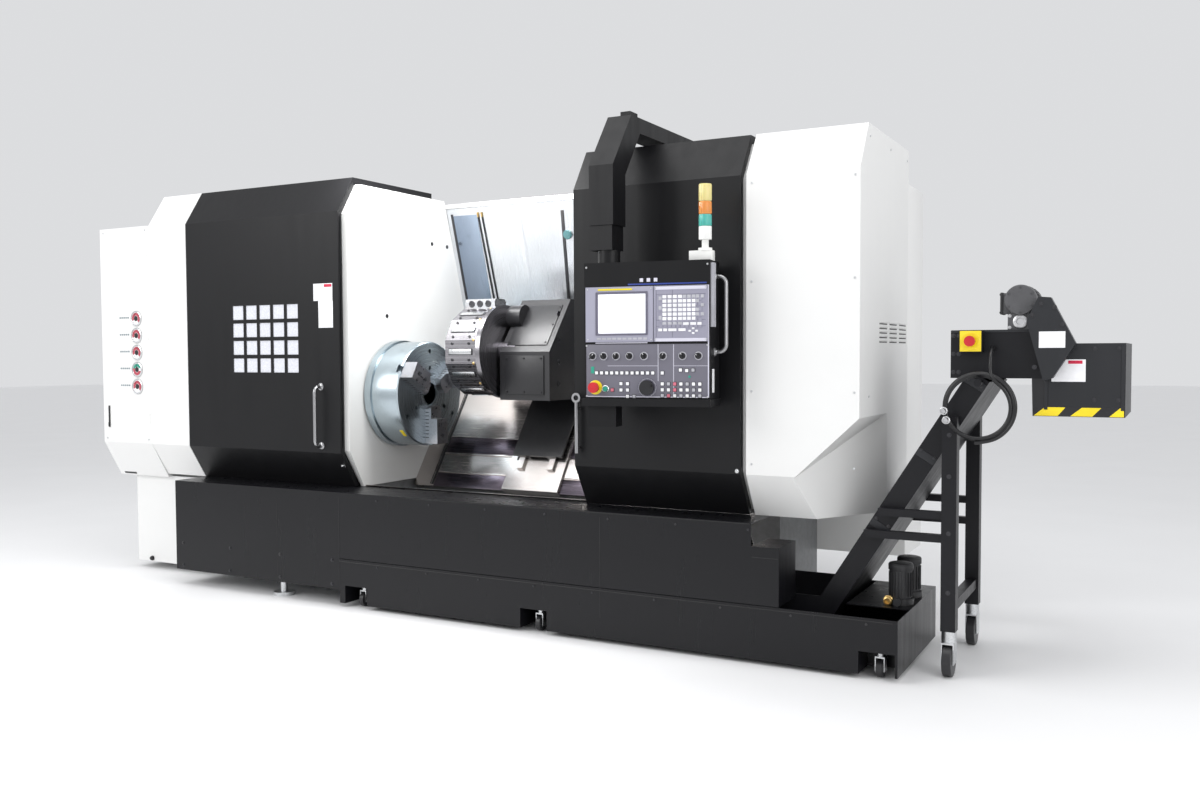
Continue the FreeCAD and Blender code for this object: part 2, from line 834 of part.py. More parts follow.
def right_end_cover():
    depth = end_cover_depth
    outline = [(slant_in, base_top + slide_gap), (0, leaf_bottom), (0, leaf_top), (roof_in, roof_z)]
    outline += [(depth, roof_z), (depth, base_top + slide_gap)]
    outer = prism_x(outline, end_x, end_right).cut(corner_wedge(0))
    inset = [(slant_in + skin, base_top - 1), (skin, leaf_bottom), (skin, leaf_top),
        (roof_in, roof_z - skin)]
    inset += [(depth - skin, roof_z - skin), (depth - skin, base_top - 1)]
    inner = prism_x(inset, end_x - 1, end_right - skin).cut(corner_wedge(skin))
    recess = folded(front_path, -behind_leaf, -behind_leaf - skin, end_x - 300, end_x + skin)
    step = folded(front_path, 0, -behind_leaf - skin, end_x, end_x + skin)
    return fuse([outer.cut(inner), recess, step])


def rear_cabinet():
    top = roof_z - 90
    outer = box(cabinet_w + 20, end_x - 60, bed_back, machine_back, 250, top)
    inner = box(cabinet_w + 20 + skin, end_x - 60 - skin, bed_back + skin, machine_back - skin,
        250 + skin, top - skin)
    shelf = box(cabinet_w + 20, end_x - 60, rail_y + 23, bed_back, top - plate, top)
    return fuse([outer.cut(inner), shelf])


# ---------------------------------------------------------------- overhead arm and pendant
def overhead_arm():
    back = arm_front + arm_depth
    shelf = roof_z - 90
    outline = [(arm_front, 1785), (arm_front, 2030), (arm_front + 170, arm_top),
        (arm_foot_y[1] + 60, arm_top)]
    outline += [(arm_foot_y[1] + 60, shelf), (arm_foot_y[0] + 80, shelf), (arm_foot_y[0] + 80, arm_under)]
    outline += [(back + 140, arm_under), (back, 2000), (back, 1785)]
    body = prism_x(outline, arm_x, arm_x + arm_w)
    lower = box(arm_x - 4, arm_x + arm_w - 8, arm_front + 6, back - 6, neck_z, 1785)
    cap = box(arm_x + 60, arm_x + arm_w - 6, arm_front + 170, arm_front + 240, arm_top, arm_top + 16)
    return fuse([body, lower, cap])


def hang(shape):
    """Turns a pendant piece, drawn square to the machine, to the angle it is left at."""
    return turned(shape, vec(pivot_x, pivot_y, 0), vec(0, 0, 1), pendant_turn)


def pendant_x0():
    return pivot_x - pendant_left


def pendant_face():
    return pivot_y - pendant_front


def pendant_housing():
    x0 = pendant_x0()
    x1 = x0 + pendant_w
    z0, z1 = pendant_z
    face = pendant_face()
    body = box(x0, x1, face, face + pendant_t, z0, z1)
    ledge = box(x0 - 6, x1 + 6, face - 22, face + pendant_t, z0 - 30, z0)
    side = box(x1, x1 + 14, face + 10, face + 40, z1 - 270, z1 - 10)
    swivel = rod_z(pivot_x, pivot_y, 46, z1, neck_z - 0.5)
    socket = box(x0 + 6, x0 + 130, face + 20, face + 100, z0 - 118, z0 - 30)
    tower_foot = box(x1 - 92, x1, face + 30, face + 76, z1, z1 + 38)
    whole = fuse([body, ledge, side, swivel, socket, tower_foot])
    holes = [panel_rod(stop_place, stop_stem_r + button_gap, face - 1, face + stop_travel + 3)]
    holes.append(panel_rod(start_place, start_button_r + button_gap, face - 1, face + start_travel + 3))
    holes.append(panel_rod(dial_place, dial_stem_r + button_gap, face - 1, face + dial_stem_in + 3))
    return hang(cut(whole, holes))


def pendant_grip():
    """The bow handle that stands out from the pendant's right side."""
    bow = turned(bow_handle(0, grip_z[0], grip_z[1]), vec(0, 0, 0), vec(0, 0, 1), 90)
    bow.translate(vec(pendant_x0() + pendant_w, pendant_face() + grip_depth, 0))
    return hang(bow)


def unit(x0, x1, z0, z1):
    face = pendant_face()
    return box(x0, x1, face - panel_raise, face, z0, z1)


def display_unit():
    x0 = pendant_x0() + 8
    frame = unit(x0, x0 + 290, 1305, 1530)
    screen = box(x0 + 55, x0 + 264, pendant_face() - panel_raise - 1, pendant_face() - 3, 1338, 1500)
    return hang(frame.cut(screen))


def key_unit():
    x0 = pendant_x0() + 301
    body = unit(x0, x0 + 224, 1305, 1530)
    keys = []
    for i in range(10):
        for j in range(6):
            x = x0 + 24 + i * 18.0
            z = 1360 + j * 22.0
            keys.append(box(x, x + 14, pendant_face() - panel_raise - 2, pendant_face() - panel_raise, z,
                z + 17))
    return hang(fuse([body] + keys))


def panel_x(px):
    return pendant_x0() + px


def panel_rod(place, r, y0, y1):
    return rod_y(panel_x(place[0]), place[1], r, y0, y1)


def estop_button():
    face = pendant_face()
    stem = panel_rod(stop_place, stop_stem_r, face - 18, face + 1)
    cap = panel_rod(stop_place, 22, face - 34, face - 18)
    return hang(fuse([stem, cap]))


def pulse_dial():
    face = pendant_face()
    wheel = panel_rod(dial_place, 30, face - 18, face - 2)
    stem = panel_rod(dial_place, dial_stem_r, face - 2, face + dial_stem_in)
    knob = panel_rod((dial_place[0] + 18, dial_place[1] + 9), 5, face - 30, face - 18)
    return hang(fuse([wheel, stem, knob]))


def start_button():
    face = pendant_face()
    return hang(panel_rod(start_place, start_button_r, face - 10, face + 1))


def selector_knobs():
    face = pendant_face()
    knobs = []
    for px in (36, 84, 138, 196, 258, 338, 420, 486):
        grip = box(panel_x(px) - 4, panel_x(px) + 4, face - 20, face - 8, 1232, 1262)
        knobs.append(hang(fuse([rod_y(panel_x(px), 1247, 15, face - 8, face), grip])))
    return knobs


def small_buttons():
    face = pendant_face()
    places = [(54 + 22 * k, 1178) for k in range(12)] + [(336, 1178), (412, 1190), (438, 1188), (464, 1190)]
    places += [(122, 1108), (160, 1134), (188, 1134), (160, 1108), (188, 1108), (188, 1082), (216, 1082)]
    places += [(336 + 26 * i, 1086 + 24 * j) for i in range(7) for j in range(3)]
    return [hang(box(panel_x(x) - 7, panel_x(x) + 7, face - 5, face, z - 7, z + 7)) for x, z in places]


def panel_controls():
    return Part.Compound(selector_knobs() + small_buttons())


def tower_x():
    return pendant_x0() + pendant_w - 32


def tower_y():
    return pendant_face() + 52


def tower_base():
    z = pendant_z[1] + 38
    x, y = tower_x(), tower_y()
    knob = rod_z(x, y, 28, z, z + 12)
    neck = rod_z(x, y, 14, z + 12, z + 46)
    base = rod_z(x, y, tower_r, z + 46, z + 98)
    return hang(fuse([knob, neck, base]))


def tower_lenses():
    z = pendant_z[1] + 38 + 98
    lenses = []
    for k, height in enumerate((48.0, 52.0, 70.0)):
        lens = rod_z(tower_x(), tower_y(), tower_r, z + 2, z + height)
        foot = rod_z(tower_x(), tower_y(), tower_r - 4, z, z + 2)
        lenses.append(hang(fuse([foot, lens])))
        z += height
    return Part.Compound(lenses)


# ---------------------------------------------------------------- chip conveyor
def along_incline(s, t):
    """A point s up the incline's upper edge and t below it, square to the slope."""
    x = incline_top_x + s * math.cos(incline) + t * math.sin(incline)
    return (x, incline_top_z + s * math.sin(incline) - t * math.cos(incline))


def trough_outline(inset):
    """The casing seen from the front: along the tank, up the incline and into the head."""
    t = conveyor_t
    low = trough_low
    top = trough_low + trough_h
    upper_s = (top - incline_top_z) / math.sin(incline)
    lower_s = (low - along_incline(0, t)[1]) / math.sin(incline)
    up_end = (head_z[0] + 30 - incline_top_z) / math.sin(incline)
    a = along_incline(upper_s, inset)
    b = along_incline(up_end, inset)
    c = along_incline(up_end, t - inset)
    d = along_incline(lower_s + inset, t - inset)
    left = tank_left + 160
    return [(left, low + inset), (left, top), (a[0], top), b, c, (d[0], low + inset)]


def conveyor_body():
    y0 = conveyor_y
    y1 = conveyor_y + conveyor_w
    outer = prism_y(trough_outline(0), y0, y1)
    inner = prism_y(trough_outline(casing_t), y0 + casing_t, y1 - casing_t)
    mouth = box(tank_left + 150, base_right - 120, y0 + casing_t, y1 - casing_t, 200, 300)
    head = box(head_left, head_right + 60, y0, y1, head_z[0], head_z[1])
    head_in = box(head_left + casing_t, head_right + 61, y0 + casing_t, y1 - casing_t, head_z[0] - 1,
        head_z[1] - casing_t)
    stop_box = box(head_left + 40, head_left + 124, y0 - 55, y0, head_z[1] - 84, head_z[1])
    peg_end = coil_y() - coil_tube_r - 3
    peg = rod_y(coil_x, coil_z + coil_r - coil_tube_r - 8.3, 8, peg_end, y0)
    peg_lip = rod_y(coil_x, coil_z + coil_r - coil_tube_r - 8.3, 14, peg_end - 4, peg_end)
    shell = fuse([outer, head]).cut(inner).cut(head_in).cut(mouth)
    gland = rod_y(gland_place()[0], gland_place()[1], gland_r, y0 - gland_len, y0)
    stop_hole = rod_y(stop_x(), stop_z(), stop_stem_r + button_gap, y0 - 56, y0 - 55 + stop_travel + 2)
    feet = [box(x, x + 40, y0 + 10, y1 - 10, bay_z + plate, trough_low + 1)
        for x in (tank_left + 165, 3000, 3060)]
    return fuse([shell, stop_box, peg, peg_lip, gland] + feet).cut(stop_hole)


def conveyor_head():
    y0 = conveyor_y
    y1 = conveyor_y + conveyor_w
    x0 = head_right + 60
    outer = box(x0, chute_right, y0, y1, chute_z[0], chute_z[1])
    inner = box(x0 - 1, chute_right - casing_t, y0 + casing_t, y1 - casing_t, chute_z[0] - 1,
        chute_z[1] - casing_t)
    link = box(x0, x0 + 30, y0, y1, chute_z[1] - casing_t, head_z[1])
    link_in = box(x0 - 1, x0 + 26, y0 + casing_t, y1 - casing_t, chute_z[1] - casing_t - 1,
        head_z[1] - casing_t)
    guard = [(x0 - 62, 1370), (x0 - 22, 1460), (x0 + 21, 1456), (x0 + 107, chute_z[1]), (x0 + 30, 1160),
        (x0 - 2, 1150)]
    guard_shape = prism_y(guard, y0 - 46, y0)
    return fuse([outer.cut(inner), link.cut(link_in), guard_shape])


def gearmotor():
    x = head_right - 6
    z = head_z[1]
    y0 = conveyor_y
    gearbox = box(x - 70, x + 20, y0 + 20, y0 + 130, z, z + 62)
    motor = rod_y(x - 24, z + 112, 50, y0 + 10, y0 + 210)
    saddle = box(x - 60, x + 10, y0 + 30, y0 + 120, z + 62, z + 80)
    terminal = box(x - 90, x - 60, y0 + 40, y0 + 110, z + 62, z + 140)
    return fuse([gearbox, saddle, motor, terminal])


def stop_x():
    return head_left + 82


def stop_z():
    return head_z[1] - 42


def conveyor_stop():
    y = conveyor_y - 55
    stem = rod_y(stop_x(), stop_z(), stop_stem_r, y - 12, y + 1)
    return fuse([stem, rod_y(stop_x(), stop_z(), 20, y - 26, y - 12)])


def leg_places():
    return [conveyor_y - leg_w, conveyor_y + conveyor_w]


def conveyor_stand():
    parts = []
    for y in leg_places():
        parts.append(box(leg_x, leg_x + leg_w, y, y + leg_w, leg_bottom, 1010))
        for z in (520, 610):
            x = along_incline((z - incline_top_z) / math.sin(incline), conveyor_t)[0]
            parts.append(box(x - 50, leg_x, y + 12, y + leg_w - 12, z, z + 30))
    y0, y1 = leg_places()
    parts.append(box(leg_x + 8, leg_x + leg_w - 8, y0, y1 + leg_w, 250, 290))
    return fuse(parts)


def leg_centres():
    return [(leg_x + leg_w / 2, y + leg_w / 2) for y in leg_places()]


# ---------------------------------------------------------------- hanging cable
def coil_y():
    return conveyor_y - leg_w - 3.0 - coil_tube_r


def cable_coil():
    return Part.makeTorus(coil_r, coil_tube_r, vec(coil_x, coil_y(), coil_z), vec(0, 1, 0))


def gland_place():
    return coil_x + gland_dx, gland_z


def cable_route():
    """Up out of the coil, then round a quarter turn, back into the gland on the head."""
    x, z_end = gland_place()
    y_end = conveyor_y - gland_len
    run = 2 * lead_bend_r * math.tan(math.radians(11.25))
    steps = [(run * math.sin(a), run * math.cos(a)) for a in (math.pi / 8, math.pi / 4, math.pi * 3 / 8)]
    rise = sum(dz for dy, dz in steps)
    points = [vec(x, coil_y(), coil_z + coil_r), vec(x, coil_y(), z_end - rise)]
    for dy, dz in steps:
        points.append(points[-1] + vec(0, dy, dz))
    return points + [vec(x, y_end, z_end)]


def tube_along(points, r):
    """A round tube along straight runs joined by tangent arcs, each as large as its runs allow."""
    edges = []
    radii = []
    here = points[0]
    for a, b, c in zip(points, points[1:], points[2:]):
        to_a = (a - b).normalize()
        to_c = (c - b).normalize()
        turn = math.pi - to_a.getAngle(to_c)
        back = 0.45 * min((a - b).Length, (c - b).Length)
        radius = back / math.tan(turn / 2)
        radii.append(round(radius, 1))
        start = b + to_a * back
        end = b + to_c * back
        inward = (to_a + to_c).normalize()
        middle = b + inward * (radius / math.cos(turn / 2) - radius)
        edges.append(Part.makeLine(here, start))
        edges.append(Part.Arc(start, middle, end).toShape())
        here = end
    edges.append(Part.makeLine(here, points[-1]))
    section = Part.Wire(Part.makeCircle(r, points[0], points[1] - points[0]))
    print("cable arc radii", radii, "length", round(sum(e.Length for e in edges), 1))
    return Part.Wire(edges).makePipeShell([section], True, True)


def cable_lead():
    return tube_along(cable_route(), cable_r)


def cable_connectors():
    y = coil_y() - coil_tube_r - 0.3
    plugs = []
    for degrees in (7, 24):
        x = coil_x - coil_r * math.cos(math.radians(degrees))
        z = coil_z - coil_r * math.sin(math.radians(degrees))
        body = rod_y(x, z, 12, y - 40, y)
        collar = rod_y(x, z, 15, y - 16, y - 4)
        plugs.append(fuse([body, collar]))
    return Part.Compound(plugs)


def build():
    nodes["bed_casting"] = bed_casting()
    nodes["levelling_feet"] = levelling_feet()
    nodes["base_skirt"] = base_skirt()
    nodes["coolant_tank"] = coolant_tank()
    nodes["coolant_pumps"] = coolant_pumps()
    nodes["tank_caster_forks"] = tank_caster_forks()
    for name, x in zip(("left", "middle", "right"), caster_xs()):
        nodes["tank_wheel_" + name] = caster_wheel(x, base_front + bay_w / 2, tank_wheel_r, tank_wheel_w)
    nodes["left_cabinet"] = left_cabinet()
    nodes["service_door"] = service_door()
    nodes["pressure_gauges"] = pressure_gauges()
    nodes["headstock_cover"] = headstock_cover()
    nodes["headstock_wall"] = headstock_wall()
    nodes["headstock"] = headstock()
    nodes["spindle_motor"] = spindle_motor()
    nodes["spindle"] = spindle()
    nodes["chuck_body"] = chuck_body()
    for name, angle in zip(("bottom", "back", "front"), jaw_angles()):
        nodes["chuck_jaw_" + name] = jaw(angle)
    nodes["back_panel"] = back_panel()
    nodes["upper_rail"] = upper_rail()
    nodes["front_lip"] = front_lip()
    nodes["way_cover_inner"] = way_cover_inner()
    nodes["way_cover_middle"] = way_cover_middle()
    nodes["carriage"] = carriage()
    nodes["turret_housing"] = turret_housing()
    nodes["turret_disc"] = turret_disc()
    nodes["tool_holders"] = tool_holders()
    nodes["left_door"] = left_door()
    nodes["left_window"] = left_window()
    nodes["left_door_handle"] = left_door_handle()
    nodes["right_door"] = right_door()
    nodes["right_door_handle"] = right_door_handle()
    nodes["right_end_cover"] = right_end_cover()
    nodes["rear_cabinet"] = rear_cabinet()
    nodes["overhead_arm"] = overhead_arm()
    nodes["pendant_housing"] = pendant_housing()
    nodes["pendant_grip"] = pendant_grip()
    nodes["display_unit"] = display_unit()
    nodes["key_unit"] = key_unit()
    nodes["estop_button"] = estop_button()
    nodes["pulse_dial"] = pulse_dial()
    nodes["start_button"] = start_button()
    nodes["panel_controls"] = panel_controls()
    nodes["tower_base"] = tower_base()
    nodes["tower_lenses"] = tower_lenses()
    nodes["conveyor_body"] = conveyor_body()
    nodes["conveyor_head"] = conveyor_head()
    nodes["gearmotor"] = gearmotor()
    nodes["conveyor_stop"] = conveyor_stop()
    nodes["conveyor_stand"] = conveyor_stand()
    for name, (x, y) in zip(("front", "rear"), leg_centres()):
        nodes["stand_fork_" + name] = caster_fork(x, y, leg_bottom, stand_wheel_r, stand_wheel_w)
        nodes["stand_wheel_" + name] = caster_wheel(x, y, stand_wheel_r, stand_wheel_w)
    nodes["cable_coil"] = cable_coil()
    nodes["cable_lead"] = cable_lead()
    nodes["cable_connectors"] = cable_connectors()


def write():
    body = Part.Compound([shape for name, shape in nodes.items() if name not in cord_names])
    bounds = body.optimalBoundingBox(False, False)
    home = vec(-(bounds.XMin + bounds.XMax) / 2, -(bounds.YMin + bounds.YMax) / 2, -bounds.ZMin)
    print("origin moved by", home, "size", bounds.XLength, bounds.YLength, bounds.ZLength)
    os.makedirs("parts", exist_ok=True)
    for name, shape in nodes.items():
        moved = shape.copy()
        moved.translate(home)
        moved.exportStep("parts/" + name + ".step")
    print(len(nodes), "nodes")


build()
write()
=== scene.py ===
import bpy
import bmesh
import math
from mathutils import Matrix, Vector


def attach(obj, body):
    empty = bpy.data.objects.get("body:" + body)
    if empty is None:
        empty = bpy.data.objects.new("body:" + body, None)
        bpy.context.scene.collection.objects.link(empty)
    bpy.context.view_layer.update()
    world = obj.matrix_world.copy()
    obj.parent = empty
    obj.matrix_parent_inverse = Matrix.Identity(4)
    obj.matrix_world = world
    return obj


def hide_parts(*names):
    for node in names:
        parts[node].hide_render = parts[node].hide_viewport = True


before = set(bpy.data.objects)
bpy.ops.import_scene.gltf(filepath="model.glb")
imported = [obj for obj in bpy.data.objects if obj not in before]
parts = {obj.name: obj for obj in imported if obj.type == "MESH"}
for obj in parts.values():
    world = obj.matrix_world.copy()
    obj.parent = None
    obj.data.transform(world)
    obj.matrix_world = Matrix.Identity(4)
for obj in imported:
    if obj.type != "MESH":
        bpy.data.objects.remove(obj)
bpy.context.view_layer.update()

# Sizes below are in millimetres on the machine's own drawing: x from its left end, y from the door
# fronts back, z up.
drawing = {
    "home": Vector((-2.706, -0.61762, 0.0)),
    "spindleY": 420.0, "spindleZ": 1050.0,
    "turretY": 574.87, "turretZ": 1271.17,
    "pivotX": 3490.0, "pivotY": -219.0, "pendantTurn": 9.0,
    "pendantWide": 533.0, "pendantPivot": 92.0, "pendantFront": 52.5,
}


def spot(x, y, z):
    return Vector((x, y, z)) / 1000 + drawing["home"]


def facing(point, out, up=(0, 0, 1)):
    # a place whose local z points out of a surface and whose local y points up it
    z = Vector(out).normalized()
    x = Vector(up).cross(z).normalized()
    turn = Matrix((x, z.cross(x), z)).transposed().to_4x4()
    return Matrix.Translation(point) @ turn


def onFront(x, z, out=0.0):
    return facing(spot(x, -out, z), (0, -1, 0))


def onPendantSide(depth, z, out=0.0):
    # on the right side of the pendant, this far behind its face
    return onPendant(drawing["pendantWide"], z, -depth) @ Matrix.Rotation(math.pi / 2, 4, "Y") @ Matrix.Translation((0, 0, out / 1000))


def onPendant(px, z, out=0.0):
    turn = math.radians(drawing["pendantTurn"])
    dx, dy = px - drawing["pendantPivot"], -drawing["pendantFront"] - out
    x = drawing["pivotX"] + dx * math.cos(turn) - dy * math.sin(turn)
    y = drawing["pivotY"] + dx * math.sin(turn) + dy * math.cos(turn)
    return facing(spot(x, y, z), (math.sin(turn), -math.cos(turn), 0))


# small building helpers, all in millimetres on a place
def slab(bm, place, w, h, d, edge=1.0, lift=0.0):
    # a block w wide, h high and d thick, standing on the place, with rounded edges
    made = bmesh.ops.create_cube(bm, size=1.0)["verts"]
    size = Matrix.Diagonal((w / 1000, h / 1000, d / 1000, 1))
    up = Matrix.Translation((0, 0, (d / 2 + lift) / 1000))
    bmesh.ops.transform(bm, matrix=place @ up @ size, verts=made)
    if edge > 0:
        edges = list({e for v in made for e in v.link_edges})
        bmesh.ops.bevel(bm, geom=edges, offset=edge / 1000, segments=2, profile=0.6, affect="EDGES")


def turned(bm, place, profile, steps=36):
    # a turned shape from (radius, height) points, about the place's own z
    rings = []
    for r, h in profile:
        if r <= 0.001:
            rings.append([bm.verts.new(place @ Vector((0, 0, h / 1000)))])
            continue
        ring = []
        for k in range(steps):
            a = 2 * math.pi * k / steps
            ring.append(
                bm.verts.new(place @ Vector((r / 1000 * math.cos(a), r / 1000 * math.sin(a),
                h / 1000)))
            )
        rings.append(ring)
    for low, high in zip(rings, rings[1:]):
        for k in range(steps):
            n = (k + 1) % steps
            if len(low) == 1 and len(high) == 1:
                continue
            if len(low) == 1:
                bm.faces.new((low[0], high[n], high[k]))
            elif len(high) == 1:
                bm.faces.new((low[k], low[n], high[0]))
            else:
                bm.faces.new((low[k], low[n], high[n], high[k]))
    if len(rings[0]) > 1:
        bm.faces.new(rings[0][::-1])
    if len(rings[-1]) > 1:
        bm.faces.new(rings[-1])


def around(place, count, offset):
    # places evenly spaced on a ring about a place's own z, in metres from it
    for k in range(count):
        yield place @ Matrix.Rotation(2 * math.pi * k / count, 4, "Z") @ Matrix.Translation(offset)


def flatShape(bm, place, outline, d, lift=0.0):
    # a flat plate cut to an outline of (x, y) points
    low = [bm.verts.new(place @ Vector((x / 1000, y / 1000, lift / 1000))) for x, y in outline]
    high = [
        bm.verts.new(place @ Vector((x / 1000, y / 1000, (lift + d) / 1000))) for x, y in outline
    ]
    bm.faces.new(low[::-1])
    bm.faces.new(high)
    for k in range(len(outline)):
        n = (k + 1) % len(outline)
        bm.faces.new((low[k], low[n], high[n], high[k]))


def hexBolt(bm, place, r=7.0, h=5.0):
    turned(bm, place, [(r * 1.45, 0), (r * 1.45, 1.2), (r * 1.05, 1.3)], 20)
    turned(bm, place, [(r, 1.2), (r, h - 0.8), (r * 0.86, h)], 6)


def capScrew(bm, place, r=6.0, h=4.0):
    turned(
        bm, place, [(r, 0), (r, h * 0.8), (r * 0.88, h), (r * 0.52, h), (r * 0.5, h * 0.35),
        (0, h * 0.3)], 18
    )


def piece(name, bm, material, body, sharp=32):
    mesh = bpy.data.meshes.new(name)
    bmesh.ops.recalc_face_normals(bm, faces=bm.faces)
    bm.to_mesh(mesh)
    bm.free()
    mesh.shade_smooth()
    mesh.set_sharp_from_angle(angle=math.radians(sharp))
    made = bpy.data.objects.new(name, mesh)
    bpy.context.scene.collection.objects.link(made)
    made.data.materials.append(material)
    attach(made, body)
    return made


def dress(names, material, edge=0.0):
    # gives a carried-over part its finish, and a softened sheet-metal edge where asked
    for name in names.split():
        part = parts[name]
        part.data.materials.clear()
        part.data.materials.append(material)
        if edge > 0:
            soft = part.modifiers.new("softEdge", "BEVEL")
            soft.width = edge / 1000
            soft.segments = 2
            soft.limit_method = "ANGLE"
            soft.angle_limit = math.radians(38)
            soft.harden_normals = True


# finishes
def shader(name):
    material = bpy.data.materials.new(name)
    material.use_nodes = True
    tree = material.node_tree
    bsdf = tree.nodes["Principled BSDF"]
    place = tree.nodes.new("ShaderNodeTexCoord").outputs["Object"]
    return material, tree, bsdf, place


def stretched(tree, place, scale):
    mapping = tree.nodes.new("ShaderNodeMapping")
    mapping.inputs["Scale"].default_value = scale
    tree.links.new(place, mapping.inputs["Vector"])
    return mapping.outputs["Vector"]


def noise(tree, place, scale, detail=3.0, rough=0.5):
    node = tree.nodes.new("ShaderNodeTexNoise")
    node.inputs["Scale"].default_value = scale
    node.inputs["Detail"].default_value = detail
    node.inputs["Roughness"].default_value = rough
    tree.links.new(place, node.inputs["Vector"])
    return node.outputs["Fac"]


def between(tree, value, low, high, fromLow=0.3, fromHigh=0.7):
    node = tree.nodes.new("ShaderNodeMapRange")
    node.inputs["From Min"].default_value = fromLow
    node.inputs["From Max"].default_value = fromHigh
    node.inputs["To Min"].default_value = low
    node.inputs["To Max"].default_value = high
    tree.links.new(value, node.inputs["Value"])
    return node.outputs["Result"]


def blendColours(tree, factor, first, second):
    node = tree.nodes.new("ShaderNodeMix")
    node.data_type = "RGBA"
    node.inputs["A"].default_value = (*first, 1)
    node.inputs["B"].default_value = (*second, 1)
    tree.links.new(factor, node.inputs["Factor"])
    return node.outputs["Result"]


def bumpy(tree, height, depth, strength=1.0, before=None):
    node = tree.nodes.new("ShaderNodeBump")
    node.inputs["Distance"].default_value = depth
    node.inputs["Strength"].default_value = strength
    tree.links.new(height, node.inputs["Height"])
    if before is not None:
        tree.links.new(before, node.inputs["Normal"])
    return node.outputs["Normal"]


def shade(colour, factor):
    return tuple(min(1.0, c * factor) for c in colour)


def powderCoat(name, colour, rough=0.42, grain=900.0, depth=0.00012, spread=0.06, gloss=0.5):
    # sprayed and baked paint: fine orange peel, slow drift of tone, faint wiping marks
    material, tree, bsdf, place = shader(name)
    slow = noise(tree, place, 2.2, 4.0)
    streak = noise(tree, stretched(tree, place, (9.0, 9.0, 0.8)), 2.0, 5.0, 0.6)
    fine = noise(tree, place, grain, 2.0)
    tone = between(tree, slow, 0.0, 1.0)
    tree.links.new(
        blendColours(tree, tone, shade(colour, 1 - spread), shade(colour, 1 + spread)),
        bsdf.inputs["Base Color"]
    )
    tree.links.new(between(tree, streak, rough - 0.05, rough + 0.07), bsdf.inputs["Roughness"])
    tree.links.new(bumpy(tree, fine, depth), bsdf.inputs["Normal"])
    bsdf.inputs["Specular IOR Level"].default_value = gloss
    return material


def brushedSheet(name, colour, along=(1.5, 260.0, 260.0), rough=0.24, spread=0.12, warm=None):
    # rolled and brushed sheet: long hair lines, slow oil-stained drift between two tones
    material, tree, bsdf, place = shader(name)
    hair = noise(tree, stretched(tree, place, along), 3.0, 6.0, 0.7)
    slow = noise(tree, place, 1.7, 3.0)
    tone = between(tree, slow, 0.0, 1.0, 0.35, 0.65)
    tree.links.new(
        blendColours(tree, tone, shade(colour, 1 - spread),
        warm or shade(colour, 1 + spread * 0.6)), bsdf.inputs["Base Color"]
    )
    tree.links.new(between(tree, hair, rough - 0.08, rough + 0.12), bsdf.inputs["Roughness"])
    tree.links.new(bumpy(tree, hair, 0.00012, 0.7), bsdf.inputs["Normal"])
    bsdf.inputs["Metallic"].default_value = 1.0
    return material


def turnedSteel(name, colour, centreY, centreZ, rough=0.27, pitch=420.0):
    # lathe-turned steel: fine rings about the part's own axis, with a drifting tint
    material, tree, bsdf, place = shader(name)
    flat = stretched(tree, place, (0.0, 1.0, 1.0))
    far = tree.nodes.new("ShaderNodeVectorMath")
    far.operation = "DISTANCE"
    centre = spot(0, centreY, centreZ)
    far.inputs[1].default_value = (0.0, centre.y, centre.z)
    tree.links.new(flat, far.inputs[0])
    rings = tree.nodes.new("ShaderNodeTexNoise")
    rings.noise_dimensions = "1D"
    rings.inputs["Scale"].default_value = pitch
    rings.inputs["Detail"].default_value = 4.0
    tree.links.new(far.outputs["Value"], rings.inputs["W"])
    slow = between(tree, noise(tree, place, 4.0, 3.0), 0.0, 1.0)
    tree.links.new(
        blendColours(tree, slow, shade(colour, 0.86), shade(colour, 1.08)),
        bsdf.inputs["Base Color"]
    )
    tree.links.new(
        between(tree, rings.outputs["Fac"], rough - 0.07, rough + 0.13), bsdf.inputs["Roughness"]
    )
    tree.links.new(bumpy(tree, rings.outputs["Fac"], 0.0002, 0.6), bsdf.inputs["Normal"])
    bsdf.inputs["Metallic"].default_value = 1.0
    return material


def groundSteel(name, colour, rough=0.3, wear=(0.45, 0.36, 0.3), metal=1.0):
    # ground tool steel with a trace of oil and light staining
    material, tree, bsdf, place = shader(name)
    lines = noise(tree, stretched(tree, place, (400.0, 30.0, 30.0)), 2.0, 5.0, 0.7)
    stain = noise(tree, place, 9.0, 6.0, 0.62)
    tree.links.new(
        blendColours(tree, between(tree, stain, 0.0, 0.55, 0.5, 0.75), colour, wear),
        bsdf.inputs["Base Color"]
    )
    tree.links.new(between(tree, lines, rough - 0.08, rough + 0.14), bsdf.inputs["Roughness"])
    tree.links.new(bumpy(tree, lines, 0.0001, 0.6), bsdf.inputs["Normal"])
    bsdf.inputs["Metallic"].default_value = metal
    return material


def moulded(name, colour, rough=0.4, grain=1400.0, depth=0.0001, coat=0.0):
    # moulded plastic or rubber with a fine sparked texture
    material, tree, bsdf, place = shader(name)
    fine = noise(tree, place, grain, 2.0)
    slow = between(tree, noise(tree, place, 14.0, 3.0), 0.0, 1.0)
    tree.links.new(
        blendColours(tree, slow, shade(colour, 0.9), shade(colour, 1.1)), bsdf.inputs["Base Color"]
    )
    tree.links.new(between(tree, fine, rough - 0.05, rough + 0.08), bsdf.inputs["Roughness"])
    tree.links.new(bumpy(tree, fine, depth, 0.6), bsdf.inputs["Normal"])
    bsdf.inputs["Coat Weight"].default_value = coat
    return material


